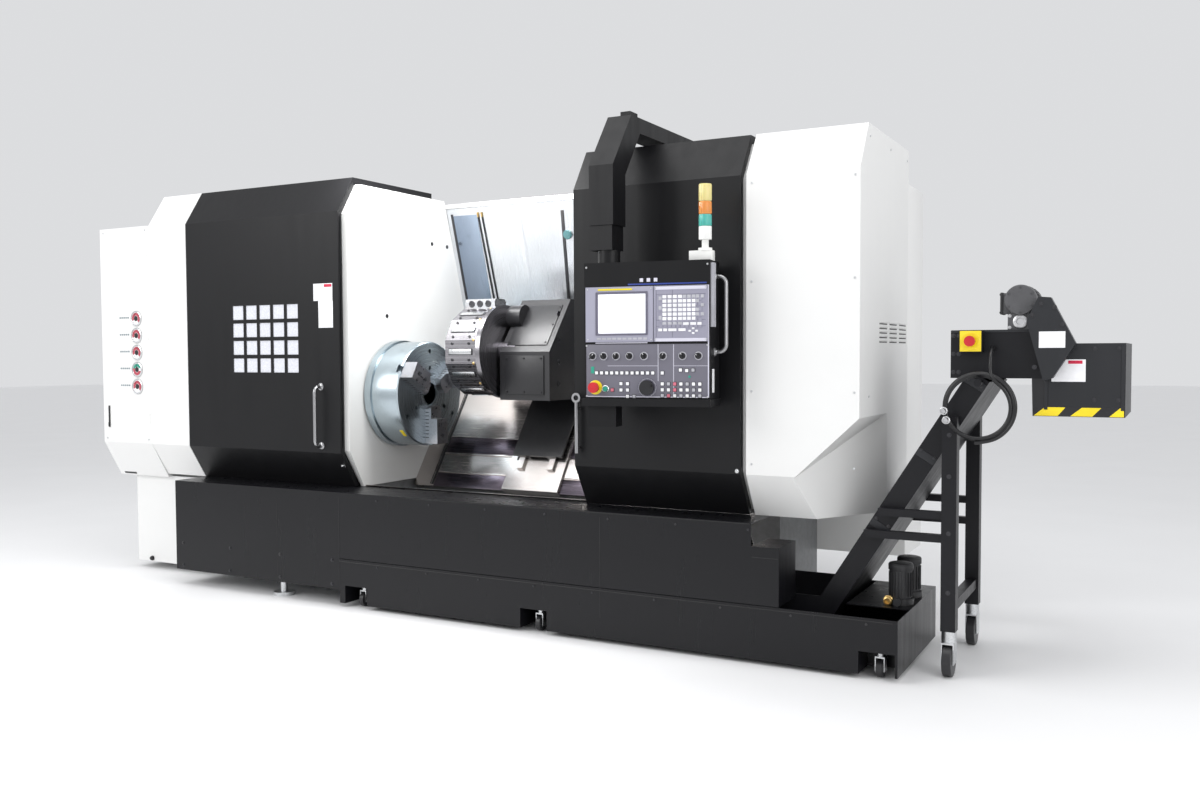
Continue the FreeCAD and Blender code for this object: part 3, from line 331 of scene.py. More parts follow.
def castPaint(name, colour, rough=0.5):
    # painted casting: sand-cast waviness under a worn coat
    material, tree, bsdf, place = shader(name)
    wave = noise(tree, place, 26.0, 6.0, 0.65)
    fine = noise(tree, place, 500.0, 3.0)
    tree.links.new(
        blendColours(tree, between(tree, wave, 0.0, 1.0), shade(colour, 0.85), shade(colour, 1.12)),
        bsdf.inputs["Base Color"]
    )
    tree.links.new(between(tree, fine, rough - 0.08, rough + 0.1), bsdf.inputs["Roughness"])
    tree.links.new(
        bumpy(tree, wave, 0.0012, 0.5, bumpy(tree, fine, 0.00015)), bsdf.inputs["Normal"]
    )
    return material


def zincPlate(name, colour=(0.62, 0.63, 0.64)):
    material, tree, bsdf, place = shader(name)
    cells = tree.nodes.new("ShaderNodeTexVoronoi")
    cells.inputs["Scale"].default_value = 160.0
    tree.links.new(place, cells.inputs["Vector"])
    tree.links.new(
        blendColours(tree, between(tree, cells.outputs["Distance"], 0.0, 1.0, 0.0, 0.6),
        shade(colour, 0.8), shade(colour, 1.1)), bsdf.inputs["Base Color"]
    )
    tree.links.new(
        between(tree, noise(tree, place, 60.0, 3.0), 0.28, 0.45), bsdf.inputs["Roughness"]
    )
    bsdf.inputs["Metallic"].default_value = 1.0
    return material


def ribbedLens(name, colour):
    # a translucent lens with fine upright ribs inside
    material, tree, bsdf, place = shader(name)
    ribs = tree.nodes.new("ShaderNodeTexWave")
    ribs.wave_type = "BANDS"
    ribs.bands_direction = "DIAGONAL"
    ribs.inputs["Scale"].default_value = 90.0
    tree.links.new(stretched(tree, place, (1.0, 1.0, 0.0)), ribs.inputs["Vector"])
    tree.links.new(
        blendColours(tree, ribs.outputs["Fac"], shade(colour, 0.82), shade(colour, 1.12)),
        bsdf.inputs["Base Color"]
    )
    tree.links.new(bumpy(tree, ribs.outputs["Fac"], 0.0004, 0.6), bsdf.inputs["Normal"])
    bsdf.inputs["Roughness"].default_value = 0.22
    bsdf.inputs["Coat Weight"].default_value = 0.5
    bsdf.inputs["Subsurface Weight"].default_value = 0.15
    return material


def litScreen(name, low, high, strength):
    # an even, blank display face with a soft fall-off and a fine raster
    material, tree, bsdf, place = shader(name)
    drift = between(tree, noise(tree, place, 3.0, 1.0), 0.0, 1.0)
    raster = noise(tree, stretched(tree, place, (1.0, 1.0, 900.0)), 3.0, 1.0)
    colour = blendColours(tree, drift, low, high)
    tree.links.new(colour, bsdf.inputs["Base Color"])
    tree.links.new(colour, bsdf.inputs["Emission Color"])
    tree.links.new(between(tree, raster, 0.12, 0.2), bsdf.inputs["Roughness"])
    bsdf.inputs["Emission Strength"].default_value = strength
    return material


blackCoat = powderCoat("blackCoat", (0.0065, 0.0065, 0.0075), 0.4, gloss=0.26)
blackCoatSmooth = powderCoat(
    "blackCoatSmooth", (0.006, 0.006, 0.0075), 0.3, 1400.0, 0.00006, gloss=0.3
)
whiteCoat = powderCoat("whiteCoat", (0.80, 0.80, 0.79), 0.44, 900.0, 0.0001, 0.015)
wallCoat = powderCoat("wallCoat", (0.76, 0.76, 0.745), 0.4, 900.0, 0.0001, 0.03)
lilacCoat = powderCoat("lilacCoat", (0.36, 0.355, 0.44), 0.4, 900.0, 0.0001, 0.05)
lilacPanel = powderCoat("lilacPanel", (0.30, 0.295, 0.37), 0.38, 1300.0, 0.00006, 0.06)
paleLilac = powderCoat("paleLilac", (0.66, 0.65, 0.74), 0.36, 1300.0, 0.00006, 0.04)
controlPanel = powderCoat("controlPanel", (0.155, 0.15, 0.185), 0.4, 1300.0, 0.00006, 0.06)
# painted reflection: a dark brushed sheet, used only for the bands on the way covers that stand in for their dark
# reflection bands
reflectionDarkSheet = brushedSheet("reflectionDarkSheet", (0.105, 0.09, 0.11), (1.5, 260.0, 260.0), 0.22)
blueSheet = brushedSheet("blueSheet", (0.30, 0.36, 0.45), (260.0, 4.0, 1.5), 0.2)
darkLilac = powderCoat("darkLilac", (0.13, 0.125, 0.17), 0.36, 1300.0, 0.00006, 0.06)
conveyorCoat = powderCoat("conveyorCoat", (0.02, 0.021, 0.024), 0.42, 700.0, 0.00014, 0.1, 0.35)
inclineCoat = powderCoat("inclineCoat", (0.008, 0.008, 0.010), 0.4, gloss=0.28)
wayStainless = brushedSheet(
    "wayStainless", (0.66, 0.64, 0.63), (1.5, 260.0, 260.0), 0.2, 0.22, (0.62, 0.56, 0.53)
)
panelStainless = brushedSheet("panelStainless", (0.72, 0.74, 0.77), (260.0, 4.0, 1.5), 0.28, 0.1)
tealLamp = ribbedLens("tealLamp", (0.06, 0.16, 0.17))
railSteel = brushedSheet("railSteel", (0.6, 0.6, 0.6), (1.5, 260.0, 260.0), 0.26)
chuckSteel = turnedSteel("chuckSteel", (0.47, 0.54, 0.58), drawing["spindleY"], drawing["spindleZ"])
turretSteel = turnedSteel(
    "turretSteel", (0.34, 0.33, 0.35), drawing["turretY"], drawing["turretZ"], 0.24
)
jawSteel = groundSteel("jawSteel", (0.52, 0.53, 0.56), 0.3, (0.40, 0.36, 0.36))
toolSteel = groundSteel("toolSteel", (0.5, 0.51, 0.53), 0.26, (0.4, 0.3, 0.26))
darkOxide = groundSteel("darkOxide", (0.06, 0.06, 0.065), 0.36, (0.1, 0.09, 0.085), 0.8)
brightSteel = groundSteel("brightSteel", (0.74, 0.75, 0.76), 0.2, (0.66, 0.65, 0.64))
brassTone = groundSteel("brassTone", (0.72, 0.5, 0.2), 0.3, (0.55, 0.38, 0.16))
handleMetal = brushedSheet("handleMetal", (0.42, 0.42, 0.43), (220.0, 220.0, 3.0), 0.3)
housingCoat = castPaint("housingCoat", (0.02, 0.02, 0.022), 0.34)
castingCoat = castPaint("castingCoat", (0.2, 0.205, 0.21))
motorCoat = castPaint("motorCoat", (0.022, 0.022, 0.024), 0.42)
motorGrey = castPaint("motorGrey", (0.085, 0.085, 0.09), 0.42)
zinc = zincPlate("zinc")
aluminium = groundSteel("aluminium", (0.72, 0.72, 0.73), 0.32, (0.62, 0.62, 0.63))
blackRubber = moulded("blackRubber", (0.012, 0.012, 0.013), 0.55)
cableSheath = moulded("cableSheath", (0.009, 0.009, 0.010), 0.3, 900.0, 0.00008)
nylon = moulded("nylon", (0.02, 0.02, 0.022), 0.35)
blackPlastic = moulded("blackPlastic", (0.014, 0.014, 0.016), 0.34)
greyKey = moulded("greyKey", (0.46, 0.46, 0.50), 0.4)
whiteKey = moulded("whiteKey", (0.86, 0.86, 0.88), 0.35)
redCap = moulded("redCap", (0.55, 0.012, 0.02), 0.28, coat=0.4)
pinkCap = moulded("pinkCap", (0.62, 0.16, 0.22), 0.35)
redBand = moulded("redBand", (0.48, 0.07, 0.10), 0.35)
greyTag = moulded("greyTag", (0.20, 0.25, 0.27), 0.4)
greenCap = moulded("greenCap", (0.02, 0.32, 0.22), 0.3, coat=0.3)
yellowPlastic = moulded("yellowPlastic", (0.86, 0.66, 0.01), 0.32, coat=0.3)
blueStrip = moulded("blueStrip", (0.03, 0.06, 0.30), 0.3)
yellowTape = powderCoat("yellowTape", (0.84, 0.70, 0.01), 0.4, 900.0, 0.00005)
blankPlate = moulded("blankPlate", (0.84, 0.84, 0.86), 0.4)
redBar = moulded("redBar", (0.60, 0.015, 0.06), 0.4)
lensYellow = ribbedLens("lensYellow", (0.86, 0.74, 0.30))
lensOrange = ribbedLens("lensOrange", (0.85, 0.30, 0.06))
lensGreen = ribbedLens("lensGreen", (0.08, 0.50, 0.42))
towerWhite = moulded("towerWhite", (0.82, 0.82, 0.80), 0.4)
screenFace = litScreen("screenFace", (0.80, 0.82, 0.84), (0.92, 0.93, 0.94), 0.55)
print("finishes ready")


def sheenPaintedPane():
    # laminated pane whose pale, faintly speckled colour is painted sheen, with a slight painted glow
    material, tree, bsdf, place = shader("sheenPaintedPane")
    sheenSpeckle = tree.nodes.new("ShaderNodeTexVoronoi")
    sheenSpeckle.inputs["Scale"].default_value = 110.0
    tree.links.new(place, sheenSpeckle.inputs["Vector"])
    tree.links.new(
        blendColours(tree, between(tree, sheenSpeckle.outputs["Distance"], 0.0, 1.0, 0.1, 0.7),
        (0.72, 0.73, 0.78), (0.60, 0.61, 0.67)), bsdf.inputs["Base Color"]
    )
    tree.links.new(between(tree, noise(tree, place, 30.0), 0.08, 0.16), bsdf.inputs["Roughness"])
    bsdf.inputs["Coat Weight"].default_value = 1.0
    bsdf.inputs["Coat Roughness"].default_value = 0.03
    # painted light: a faint glow on the pane, which is no lamp
    bsdf.inputs["Emission Color"].default_value = (0.75, 0.77, 0.82, 1)
    bsdf.inputs["Emission Strength"].default_value = 0.12
    return material


# the camera stands where the operator would look in from the right
camera = {
    "at": spot(5601, -4200, 1254.3), "azimuth": 28.454, "down": 2.415, "roll": -0.259, "lens": 32.42
}


def setCamera():
    data = bpy.data.cameras.new("camera")
    made = bpy.data.objects.new("camera", data)
    bpy.context.scene.collection.objects.link(made)
    azimuth, down, roll = (math.radians(camera[k]) for k in ("azimuth", "down", "roll"))
    right = Vector((math.cos(azimuth), math.sin(azimuth), 0))
    look = Vector(
        (-math.sin(azimuth) * math.cos(down), math.cos(azimuth) * math.cos(down), -math.sin(down))
    )
    up = right.cross(look)
    turnedRight = right * math.cos(roll) + up * math.sin(roll)
    turnedUp = up * math.cos(roll) - right * math.sin(roll)
    made.matrix_world = Matrix.Translation(camera["at"]) @ Matrix((turnedRight, turnedUp, -look)).transposed().to_4x4()
    data.sensor_width = 36.0
    data.lens = camera["lens"]
    bpy.context.scene.camera = made


setCamera()

# studio
studio = {"sky": 0.74, "top": 120.0, "key": 150.0, "fill": 70.0, "inside": 30.0}


def softbox(name, at, towards, size, power):
    data = bpy.data.lights.new(name, "AREA")
    data.shape = "RECTANGLE"
    data.size, data.size_y = size
    data.energy = power
    made = bpy.data.objects.new(name, data)
    made.matrix_world = facing(Vector(at), Vector(at) - Vector(towards), (0, 0.02, 1))
    bpy.context.scene.collection.objects.link(made)


def buildStudio():
    world = bpy.data.worlds.new("studio")
    bpy.context.scene.world = world
    world.use_nodes = True
    sky = world.node_tree.nodes["Background"]
    sky.inputs["Color"].default_value = (0.97, 0.98, 1.0, 1)
    sky.inputs["Strength"].default_value = studio["sky"]
    softbox("topLight", (0.3, -1.5, 5.2), (0.2, 0.2, 1.0), (7.0, 3.0), studio["top"])
    softbox("keyLight", (-3.6, -5.6, 3.6), (-0.4, 0, 1.0), (3.4, 2.6), studio["key"])
    softbox("fillLight", (5.6, -3.0, 2.6), (1.6, 0, 1.0), (2.4, 3.0), studio["fill"])
    softbox("insideLight", (-0.35, -0.55, 2.35), (-0.3, 0.3, 1.0), (1.1, 0.4), studio["inside"])
    bm = bmesh.new()
    corners = [(-40, -40), (40, -40), (40, 40), (-40, 40)]
    bm.faces.new([bm.verts.new((x, y, 0)) for x, y in corners])
    mesh = bpy.data.meshes.new("studioFloor")
    bm.to_mesh(mesh)
    bm.free()
    floor = bpy.data.objects.new("studioFloor", mesh)
    bpy.context.scene.collection.objects.link(floor)
    material, tree, bsdf, place = shader("paleFloor")
    tree.links.new(
        blendColours(tree, noise(tree, place, 1.5), (0.86, 0.86, 0.865), (0.9, 0.9, 0.905)),
        bsdf.inputs["Base Color"]
    )
    bsdf.inputs["Roughness"].default_value = 0.6
    floor.data.materials.append(material)
    bpy.context.scene.view_settings.view_transform = "Standard"


buildStudio()
print("camera and studio ready")

# the spare signal cable, coiled and hung on its peg
coil = {
    "x": 4920.0, "y": 39.0, "z": 1050.0, "radii": (114.0, 127.0, 120.0, 131.0),
    "out": (-8.0, -2.0, 6.0, 0.0), "glandX": 4960.0, "glandZ": 1272.0
}


def buildCable():
    points = []
    # down out of the gland and round into the coil
    gx, gz, y = coil["glandX"], coil["glandZ"], coil["y"]
    for py, pz in ((112, 0), (92, 0), (67.7, -10), (49.1, -28.6), (40, -52.9), (39, -92)):
        points.append(spot(gx, py, gz + pz))
    turns, steps = 3, 16
    for k in range(turns * steps + 8):
        a = math.radians(62) - 2 * math.pi * k / steps
        t = k / steps
        i = min(int(t), 2)
        r = coil["radii"][i] + (coil["radii"][i + 1] - coil["radii"][i]) * (t - i)
        o = coil["out"][i] + (coil["out"][i + 1] - coil["out"][i]) * (t - i)
        points.append(spot(coil["x"] + r * math.cos(a), y + o, coil["z"] + r * math.sin(a)))
    curve = bpy.data.curves.new("signalCable", "CURVE")
    curve.dimensions = "3D"
    curve.bevel_depth = 0.007
    curve.bevel_resolution = 5
    line = curve.splines.new("NURBS")
    line.points.add(len(points) - 1)
    for p, q in zip(line.points, points):
        p.co = (*q, 1)
    line.order_u = 3
    line.use_endpoint_u = True
    line.resolution_u = 4
    cable = bpy.data.objects.new("signalCable", curve)
    bpy.context.scene.collection.objects.link(cable)
    curve.materials.append(cableSheath)
    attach(cable, "machine")
    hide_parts("cable_coil", "cable_lead")
    bare = curve.copy()
    bare.bevel_depth = 0
    probe = bpy.data.objects.new("cableLine", bare)
    line = bpy.data.meshes.new_from_object(probe)
    bpy.data.objects.remove(probe)

    bm = bmesh.new()
    for degrees in (7, 24):
        x = coil["x"] - 122 * math.cos(math.radians(degrees))
        z = coil["z"] - 122 * math.sin(math.radians(degrees))
        end = facing(spot(x, 39 - 22.3, z), (0, -1, 0))
        turned(
            bm, end, [(10, 0), (12, 3), (14.5, 4), (14.5, 15), (12.5, 16), (11.5, 24), (11.5, 36),
            (10.5, 40), (8, 40), (8, 30), (0, 30)], 30
        )
        for rib in around(end, 12, (0.0144, 0, 0.0095)):
            slab(bm, rib, 1.4, 2.6, 9, 0.4, -4.5)
    plugs = piece("cablePlugs", bm, aluminium, "machine")
    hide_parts("cable_connectors")


buildCable()
print("cable coiled")

# carried-over parts and their finishes
dress("left_cabinet service_door headstock_cover right_end_cover", whiteCoat, 2.5)
dress("headstock_wall", wallCoat)
dress("rear_cabinet", whiteCoat, 4.0)
dress("left_door right_door", blackCoat, 2.5)
dress("base_skirt coolant_tank", blackCoatSmooth, 2.0)
dress("overhead_arm pendant_housing", blackCoat, 3.0)
dress("bed_casting headstock", castingCoat, 3.0)
dress("spindle_motor", motorGrey, 2.0)
dress("back_panel", panelStainless)
dress("front_lip way_cover_inner way_cover_middle carriage", wayStainless)
dress("upper_rail", railSteel, 1.0)
dress("spindle chuck_body", chuckSteel, 1.0)
dress("chuck_jaw_bottom chuck_jaw_back chuck_jaw_front", jawSteel, 1.2)
dress("turret_disc", turretSteel, 1.2)
dress("tool_holders", toolSteel, 1.0)
dress("turret_housing", housingCoat, 4.0)
dress("left_window", sheenPaintedPane())
dress("left_door_handle right_door_handle pendant_grip", handleMetal)
dress("display_unit", lilacCoat, 1.0)
dress("key_unit", lilacPanel, 0.5)
dress("estop_button", redCap, 1.5)
dress("start_button", greenCap, 1.0)
dress("pulse_dial", blackPlastic, 1.0)
dress("panel_controls", greyKey, 0.6)
dress("tower_base", towerWhite, 1.0)
dress("conveyor_body conveyor_stand", inclineCoat, 2.0)
dress("conveyor_head", conveyorCoat, 2.0)
dress("gearmotor", motorGrey, 2.0)
dress("conveyor_stop", redCap, 1.5)
dress("levelling_feet tank_caster_forks stand_fork_front stand_fork_rear", zinc, 1.0)
dress("coolant_pumps", motorCoat, 2.0)
dress(
    "tank_wheel_left tank_wheel_middle tank_wheel_right stand_wheel_front stand_wheel_rear", nylon,
    1.0
)
print("carried-over parts dressed")


# left end: the service cabinet with its gauges
gauges = {"x": 300.0, "z": 1277.0, "pitch": 97.5, "r": 43.0, "labelX": 196.0}


def arcBand(bm, place, r0, r1, start, end, lift, d, steps=14):
    outline = []
    for r, way in ((r1, 1), (r0, -1)):
        for k in range(steps + 1):
            a = math.radians(start + (end - start) * (k if way > 0 else steps - k) / steps)
            outline.append((r * math.cos(a), r * math.sin(a)))
    flatShape(bm, place, outline, d, lift)


def buildGauges():
    bezels, faces, reds, greens, needles, strips = (bmesh.new() for _ in range(6))
    for k in range(5):
        z = gauges["z"] + gauges["pitch"] * (k - 2)
        dial = onFront(gauges["x"], z)
        r = gauges["r"]
        turned(
            bezels, dial, [(r - 5, -4), (r, -2), (r + 1, 2), (r, 5.6), (r - 3, 7), (r - 6, 6.4),
            (r - 7, 3.4), (r - 8, 3.2)], 40
        )
        turned(faces, dial, [(r - 7, 2.4), (r - 7, 3.2), (0, 3.25)], 40)
        low = 205 if k != 1 else 340
        arcBand(reds, dial, 17, 33, low - 250, low, 3.3, 0.4, 26)
        if k == 1:
            arcBand(greens, dial, 17, 33, 20, 165, 3.35, 0.45, 18)
        for n in range(11):
            tick = dial @ Matrix.Rotation(math.radians(-45 + 27 * n), 4, "Z") @ Matrix.Translation((0.029, 0, 0))
            slab(needles, tick, 7.0, 1.2, 0.5, 0.0, 3.7)
        turn = Matrix.Rotation(math.radians((128, 96, 74, 150, 110)[k]), 4, "Z")
        flatShape(needles, dial @ turn, [(-11, -2.4), (30, -0.5), (30, 0.5), (-11, 2.4)], 0.8, 4.2)
        turned(needles, dial, [(15, 3.3), (15, 4.2), (8, 5.0), (0, 5.4)], 24)
        for n in range(5):
            slab(strips, onFront(gauges["labelX"] - 34 + 17 * n, z + 6), 12, 9, 0.7, 0.2)
    made = piece("gaugeBezels", bezels, brightSteel, "machine")
    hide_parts("pressure_gauges")
    piece("gaugeFaces", faces, blankPlate, "machine")
    piece("gaugeRedBands", reds, redBand, "machine")
    piece("gaugeGreenBand", greens, greenCap, "machine")
    piece("gaugeNeedles", needles, blackPlastic, "machine")
    piece("gaugeTags", strips, greyTag, "service_door")


buildGauges()


def buildCabinetDetails():
    bm = bmesh.new()
    slab(bm, onFront(53, 905, 3), 15, 126, 1.4, 1.4)
    slab(bm, onFront(53, 858, 4.2), 11, 26, 5, 1.6)
    turned(bm, onFront(53, 948, 4.2), [(6, 0), (6, 2), (4.6, 2.6), (0, 2.2)], 20)
    piece("cabinetLatch", bm, blackPlastic, "service_door")
    bm = bmesh.new()
    slant = facing(spot(92, 104, 566), (0, -1, -0.545))
    slab(bm, slant, 104, 13, 4, 1.5, -2)
    turned(
        bm, facing(spot(222, 140, 58), (0, -1, 0)), [(14, 0), (14, 5), (11, 14), (9, 16), (0, 17)],
        24
    )
    piece("cabinetSlotAndKnob", bm, blackPlastic, "machine")
    bm = bmesh.new()
    for x, z in ((30, 778), (385, 778), (30, 1972), (385, 1972)):
        capScrew(bm, onFront(x, z), 4.5, 2.6)
    piece("serviceDoorScrews", bm, zinc, "service_door")


buildCabinetDetails()
print("service cabinet done")


# left and right doors
doors = {"plateT": 1.2, "firstCell": (1111, 1204), "cellPitch": (98.0, 94.0)}


def buildDoorDetails():
    t = doors["plateT"]
    plates, bars = bmesh.new(), bmesh.new()
    slab(plates, onFront(1716, 1579), 128, 88, t, 0.8)
    slab(plates, onFront(1733, 1466), 97, 138, t, 0.8)
    slab(bars, onFront(1750, 1612, t), 52, 15, 0.4, 0.2)
    piece("leftDoorPlates", plates, blankPlate, "left_door")
    piece("leftDoorPlateBar", bars, redBar, "left_door")

    # a slim rubber lip round every window cell
    bm = bmesh.new()
    for i in range(5):
        for j in range(4):
            x = doors["firstCell"][0] + i * doors["cellPitch"][0]
            z = doors["firstCell"][1] + j * doors["cellPitch"][1]
            for sx, sz, w, h in (
                (0, 38.2, 83, 2.2), (0, -38.2, 83, 2.2), (-40.2, 0, 2.2, 79), (40.2, 0, 2.2, 79)
            ):
                slab(bm, onFront(x + sx, z + sz, -2.6), w, h, 3.4, 0.7)
    piece("windowLips", bm, blackRubber, "left_door")


buildDoorDetails()


def buildHandleFlanges():
    groups = {
        "leftHandleFlanges": ("left_door", [onFront(1692, z) for z in (790, 1095)]),
        "gripFlanges": ("pendant", [onPendantSide(82, z) for z in (1262, 1566)]),
    }
    for name, (body, places) in groups.items():
        bm = bmesh.new()
        for place in places:
            turned(bm, place, [(19, 0), (19, 2), (16, 4.5), (11.5, 6), (9.6, 9)], 30)
            for s in (-1, 1):
                capScrew(bm, place @ Matrix.Translation((0.0135 * s, 0, 0.003)), 2.6, 1.8)
        piece(name, bm, handleMetal, body)


def buildDoorTrim():
    # catches, screws and the blank switch plate
    bm = bmesh.new()
    slab(bm, facing(spot(1806, 36, 690), (0, -1, -0.604)), 24, 15, 6, 1.5)
    turned(
        bm, facing(spot(1806, 32, 690), (0, -1, -0.604)), [(5, 2), (5, 9), (3.6, 10.5), (0, 10.5)],
        18
    )
    piece("leftDoorCatch", bm, brightSteel, "left_door")
    bm = bmesh.new()
    slab(bm, onPendantSide(53, 1146), 35, 95, 1.2, 0.8)
    piece("pendantSidePlate", bm, blankPlate, "pendant")
    bm = bmesh.new()
    slab(bm, onPendantSide(25, 1490, 14), 28, 256, 1.0, 0.4)
    slab(bm, onPendantSide(9.8, 1490, 7) @ Matrix.Rotation(-math.pi / 2, 4, "Y"), 13, 256, 0.8, 0.3)
    piece("pendantSideBar", bm, greyKey, "pendant")
    bm = bmesh.new()
    hexBolt(bm, onFront(3970, 768), 6, 5)
    piece("rightDoorBolt", bm, brightSteel, "right_door")
    for body, x0, x1 in (("left_door", 720, 1820), ("right_door", 3195, 3985)):
        bm = bmesh.new()
        for x in (x0 + 6, x1 - 6):
            slab(
                bm, facing(spot(x, 15, 1370), (1 if x > x0 + 9 else -1, 0, 0)), 9, 1180, 5, 1.8, 1.0
            )
        piece(body + "Gaskets", bm, blackRubber, body)


buildHandleFlanges()
buildDoorTrim()


# headstock wall and chuck
chuck = {"face": 2060.0, "x": 1852.0, "boltRings": (137.5, 225.5)}


def aboutSpindle(x, r, angle):
    a = math.radians(angle)
    at = spot(x, drawing["spindleY"] + r * math.cos(a), drawing["spindleZ"] + r * math.sin(a))
    return facing(at, (1, 0, 0), (0, math.cos(a), math.sin(a)))


def buildChuck():
    bm = bmesh.new()
    for angle in (-30, 90, 210):
        for r in chuck["boltRings"]:
            capScrew(bm, aboutSpindle(chuck["face"] - 18, r, angle), 9.6, 12)
    for angle in range(15, 375, 60):
        capScrew(bm, aboutSpindle(chuck["x"] + 38, 279.2, angle), 3.4, 3)
    piece("chuckScrews", bm, darkOxide, "spindle")
    bm = bmesh.new()
    place = aboutSpindle(chuck["face"], 0, 0)
    for inner, outer in ((60, 74), (252, 262)):
        turned(
            bm, place, [(inner, 0), (inner, 1.0), (inner + 1.2, 1.6), (outer - 1.2, 1.6),
            (outer, 1.0), (outer, 0)], 72
        )
    piece("chuckRings", bm, chuckSteel, "spindle")
    bm = bmesh.new()
    slab(bm, facing(spot(2038, 231, 850), (0, -0.687, -0.727), (1, 0, 0)), 46, 22, 1.6, 0.8, -1.2)
    piece("chuckMark", bm, yellowPlastic, "spindle")
    for name, angle in (("bottom", -90), ("back", 30), ("front", 150)):
        bm = bmesh.new()
        for r in (160, 220):
            capScrew(bm, aboutSpindle(chuck["face"] + 66, r, angle), 10.6, 9)
        for k in range(9):
            for side in (-1, 1):
                rib = aboutSpindle(chuck["face"] + 24, 78 + 19 * k, angle) @ Matrix.Translation((side * 0.0452, 0, 0))
                slab(bm, rib, 1.2, 4, 22, 0.3, -12)
        piece("jawScrews" + name.capitalize(), bm, darkOxide, "jaw_" + name)


def buildWallMarks():
    bm = bmesh.new()
    for y, z in ((740, 1881), (881, 1876), (341, 1464)):
        turned(
            bm, facing(spot(1850, y, z), (1, 0, 0)), [(11, 0), (11, 1.2), (8, 2.4), (0, 2.6)], 24
        )
    piece("wallPlugs", bm, blackPlastic, "machine")
    bm = bmesh.new()
    place = facing(spot(1850, 420, 1050), (1, 0, 0))
    turned(bm, place, [(151, 0), (151, 0.8), (153, 1.4), (171, 1.4), (173, 0.8), (173, 0)], 72)
    for angle in range(0, 360, 45):
        capScrew(bm, aboutSpindle(1851.4, 162, angle + 10), 4.2, 2.6)
    for y in range(150, 850, 140):
        capScrew(bm, facing(spot(1850, y, 2110 if y > 200 else 2040), (1, 0, 0)), 4.5, 2.6)
    piece("wallRingAndScrews", bm, brightSteel, "machine")


buildChuck()
buildWallMarks()
print("chuck detailed")


# turret, its tool blocks and its housing
turret = {"left": 2225.0, "r": 226.0, "stations": 12, "blocks": (0, 2, 4), "boreX": (48, 100, 152)}


def onTurret(angle, r, x):
    # angle 0 points straight up; it grows towards the back, as the blocks are placed
    a = math.radians(angle)
    out = (0, math.sin(a), math.cos(a))
    at = spot(x, drawing["turretY"] + r * out[1], drawing["turretZ"] + r * out[2])
    return facing(at, out, (1, 0, 0))


def buildTurret():
    dark, bright, brass = bmesh.new(), bmesh.new(), bmesh.new()
    x = turret["left"]
    for k in range(turret["stations"]):
        angle = k * 30.0
        if k not in turret["blocks"]:
            slab(dark, onTurret(angle, turret["r"], x + 96), 34, 150, 2.2, 0.8)
            slab(bright, onTurret(angle, turret["r"], x + 96), 26, 140, 6.5, 1.5)
            for dx in (44, 148):
                for dy in (-42, 42):
                    place = onTurret(angle, turret["r"], x + dx) @ Matrix.Translation((dy / 1000, 0, 0))
                    capScrew(dark, place, 7.2, 4)
        nozzle = onTurret(angle + 15, turret["r"] + 3.5, x + 176)
        turned(brass, nozzle, [(8, -4), (8, 3), (6, 6), (3, 7.5), (1.6, 7.5), (1.6, 2), (0, 2)], 20)
    hub = facing(spot(x - 14, drawing["turretY"], drawing["turretZ"]), (-1, 0, 0))
    turned(bright, hub, [(92, 0), (92, 3), (88, 5), (60, 5), (56, 3), (30, 3), (26, 8), (0, 9)], 60)
    for k in range(12):
        capScrew(
            dark, hub @ Matrix.Rotation(math.radians(k * 30 + 15), 4,
            "Z") @ Matrix.Translation((0.106, 0, 0)), 6.5, 5
        )
        capScrew(
            dark, hub @ Matrix.Rotation(math.radians(k * 30), 4,
            "Z") @ Matrix.Translation((0.182, 0, -0.014)), 7.5, 5
        )
    piece("turretScrews", dark, darkOxide, "turret")
    piece("turretWedges", bright, brightSteel, "turret")
    piece("turretNozzles", brass, brassTone, "turret")

    sleeves, screws = bmesh.new(), bmesh.new()
    for station in turret["blocks"]:
        up = onTurret(station * 30.0, turret["r"] + 26, x)
        for bore in turret["boreX"]:
            for side in (-1, 1):
                # the sleeve rings lie flat on the block's two bored faces
                face = up @ Matrix.Translation((side * 0.052, bore / 1000, 0)) @ Matrix.Rotation(side * math.pi / 2, 4, "Y")
                turned(
                    sleeves, face, [(18.5, 0), (18.5, 1.6), (17, 2.8), (14.4, 2.8), (13.4, 1.6),
                    (13.2, -8), (12.4, -8), (12.4, -9), (0, -9)], 36
                )
            for side in (-1, 1):
                top = up @ Matrix.Translation((side * 0.026, bore / 1000, 0.026))
                capScrew(screws, top, 6.2, 2.4)
        for bore in (24, 76, 124, 176):
            capScrew(screws, up @ Matrix.Translation((0, bore / 1000, 0.026)), 5.0, 2.4)
    piece("toolSleeves", sleeves, darkOxide, "turret")
    piece("toolBlockScrews", screws, darkOxide, "turret")


def buildTurretHousing():
    bm = bmesh.new()
    front = drawing["turretY"] - 75
    face = facing(spot(2613, front, 1150), (0, -1, 0))
    slab(bm, face, 236, 200, 6, 2)
    for dx in (-104, 0, 104):
        for dz in (-86, 86):
            capScrew(bm, face @ Matrix.Translation((dx / 1000, dz / 1000, 0.006)), 5, 4)
    sloped = facing(spot(2613, front + 110, 1407.5), (0, -0.78, 0.624))
    slab(bm, sloped, 240, 270, 5, 2)
    for dx in (-108, 108):
        for dy in (-118, 0, 118):
            capScrew(bm, sloped @ Matrix.Translation((dx / 1000, dy / 1000, 0.005)), 5, 3.4)
    piece("housingCovers", bm, housingCoat, "turret_slide")
    bm = bmesh.new()
    for z in (1105, 1215, 1345, 1480):
        at = facing(spot(2763, front + 92, z if z < 1300 else z - 15), (1, 0, 0))
        turned(bm, at, [(15, 0), (15, 2), (12, 4), (9, 4), (9, 1), (0, 1)], 28)
    turned(
        bm, facing(spot(2463 - 8, front + 140, 1455), (-1, 0, 0)),
        [(62, 0), (62, 8), (58, 12), (20, 14), (0, 14)], 48
    )
    piece("housingPorts", bm, darkOxide, "turret_slide")


wayCovers = {"slope": 55, "lowY": 681.0, "lowZ": 726.0, "middle": 165.0}


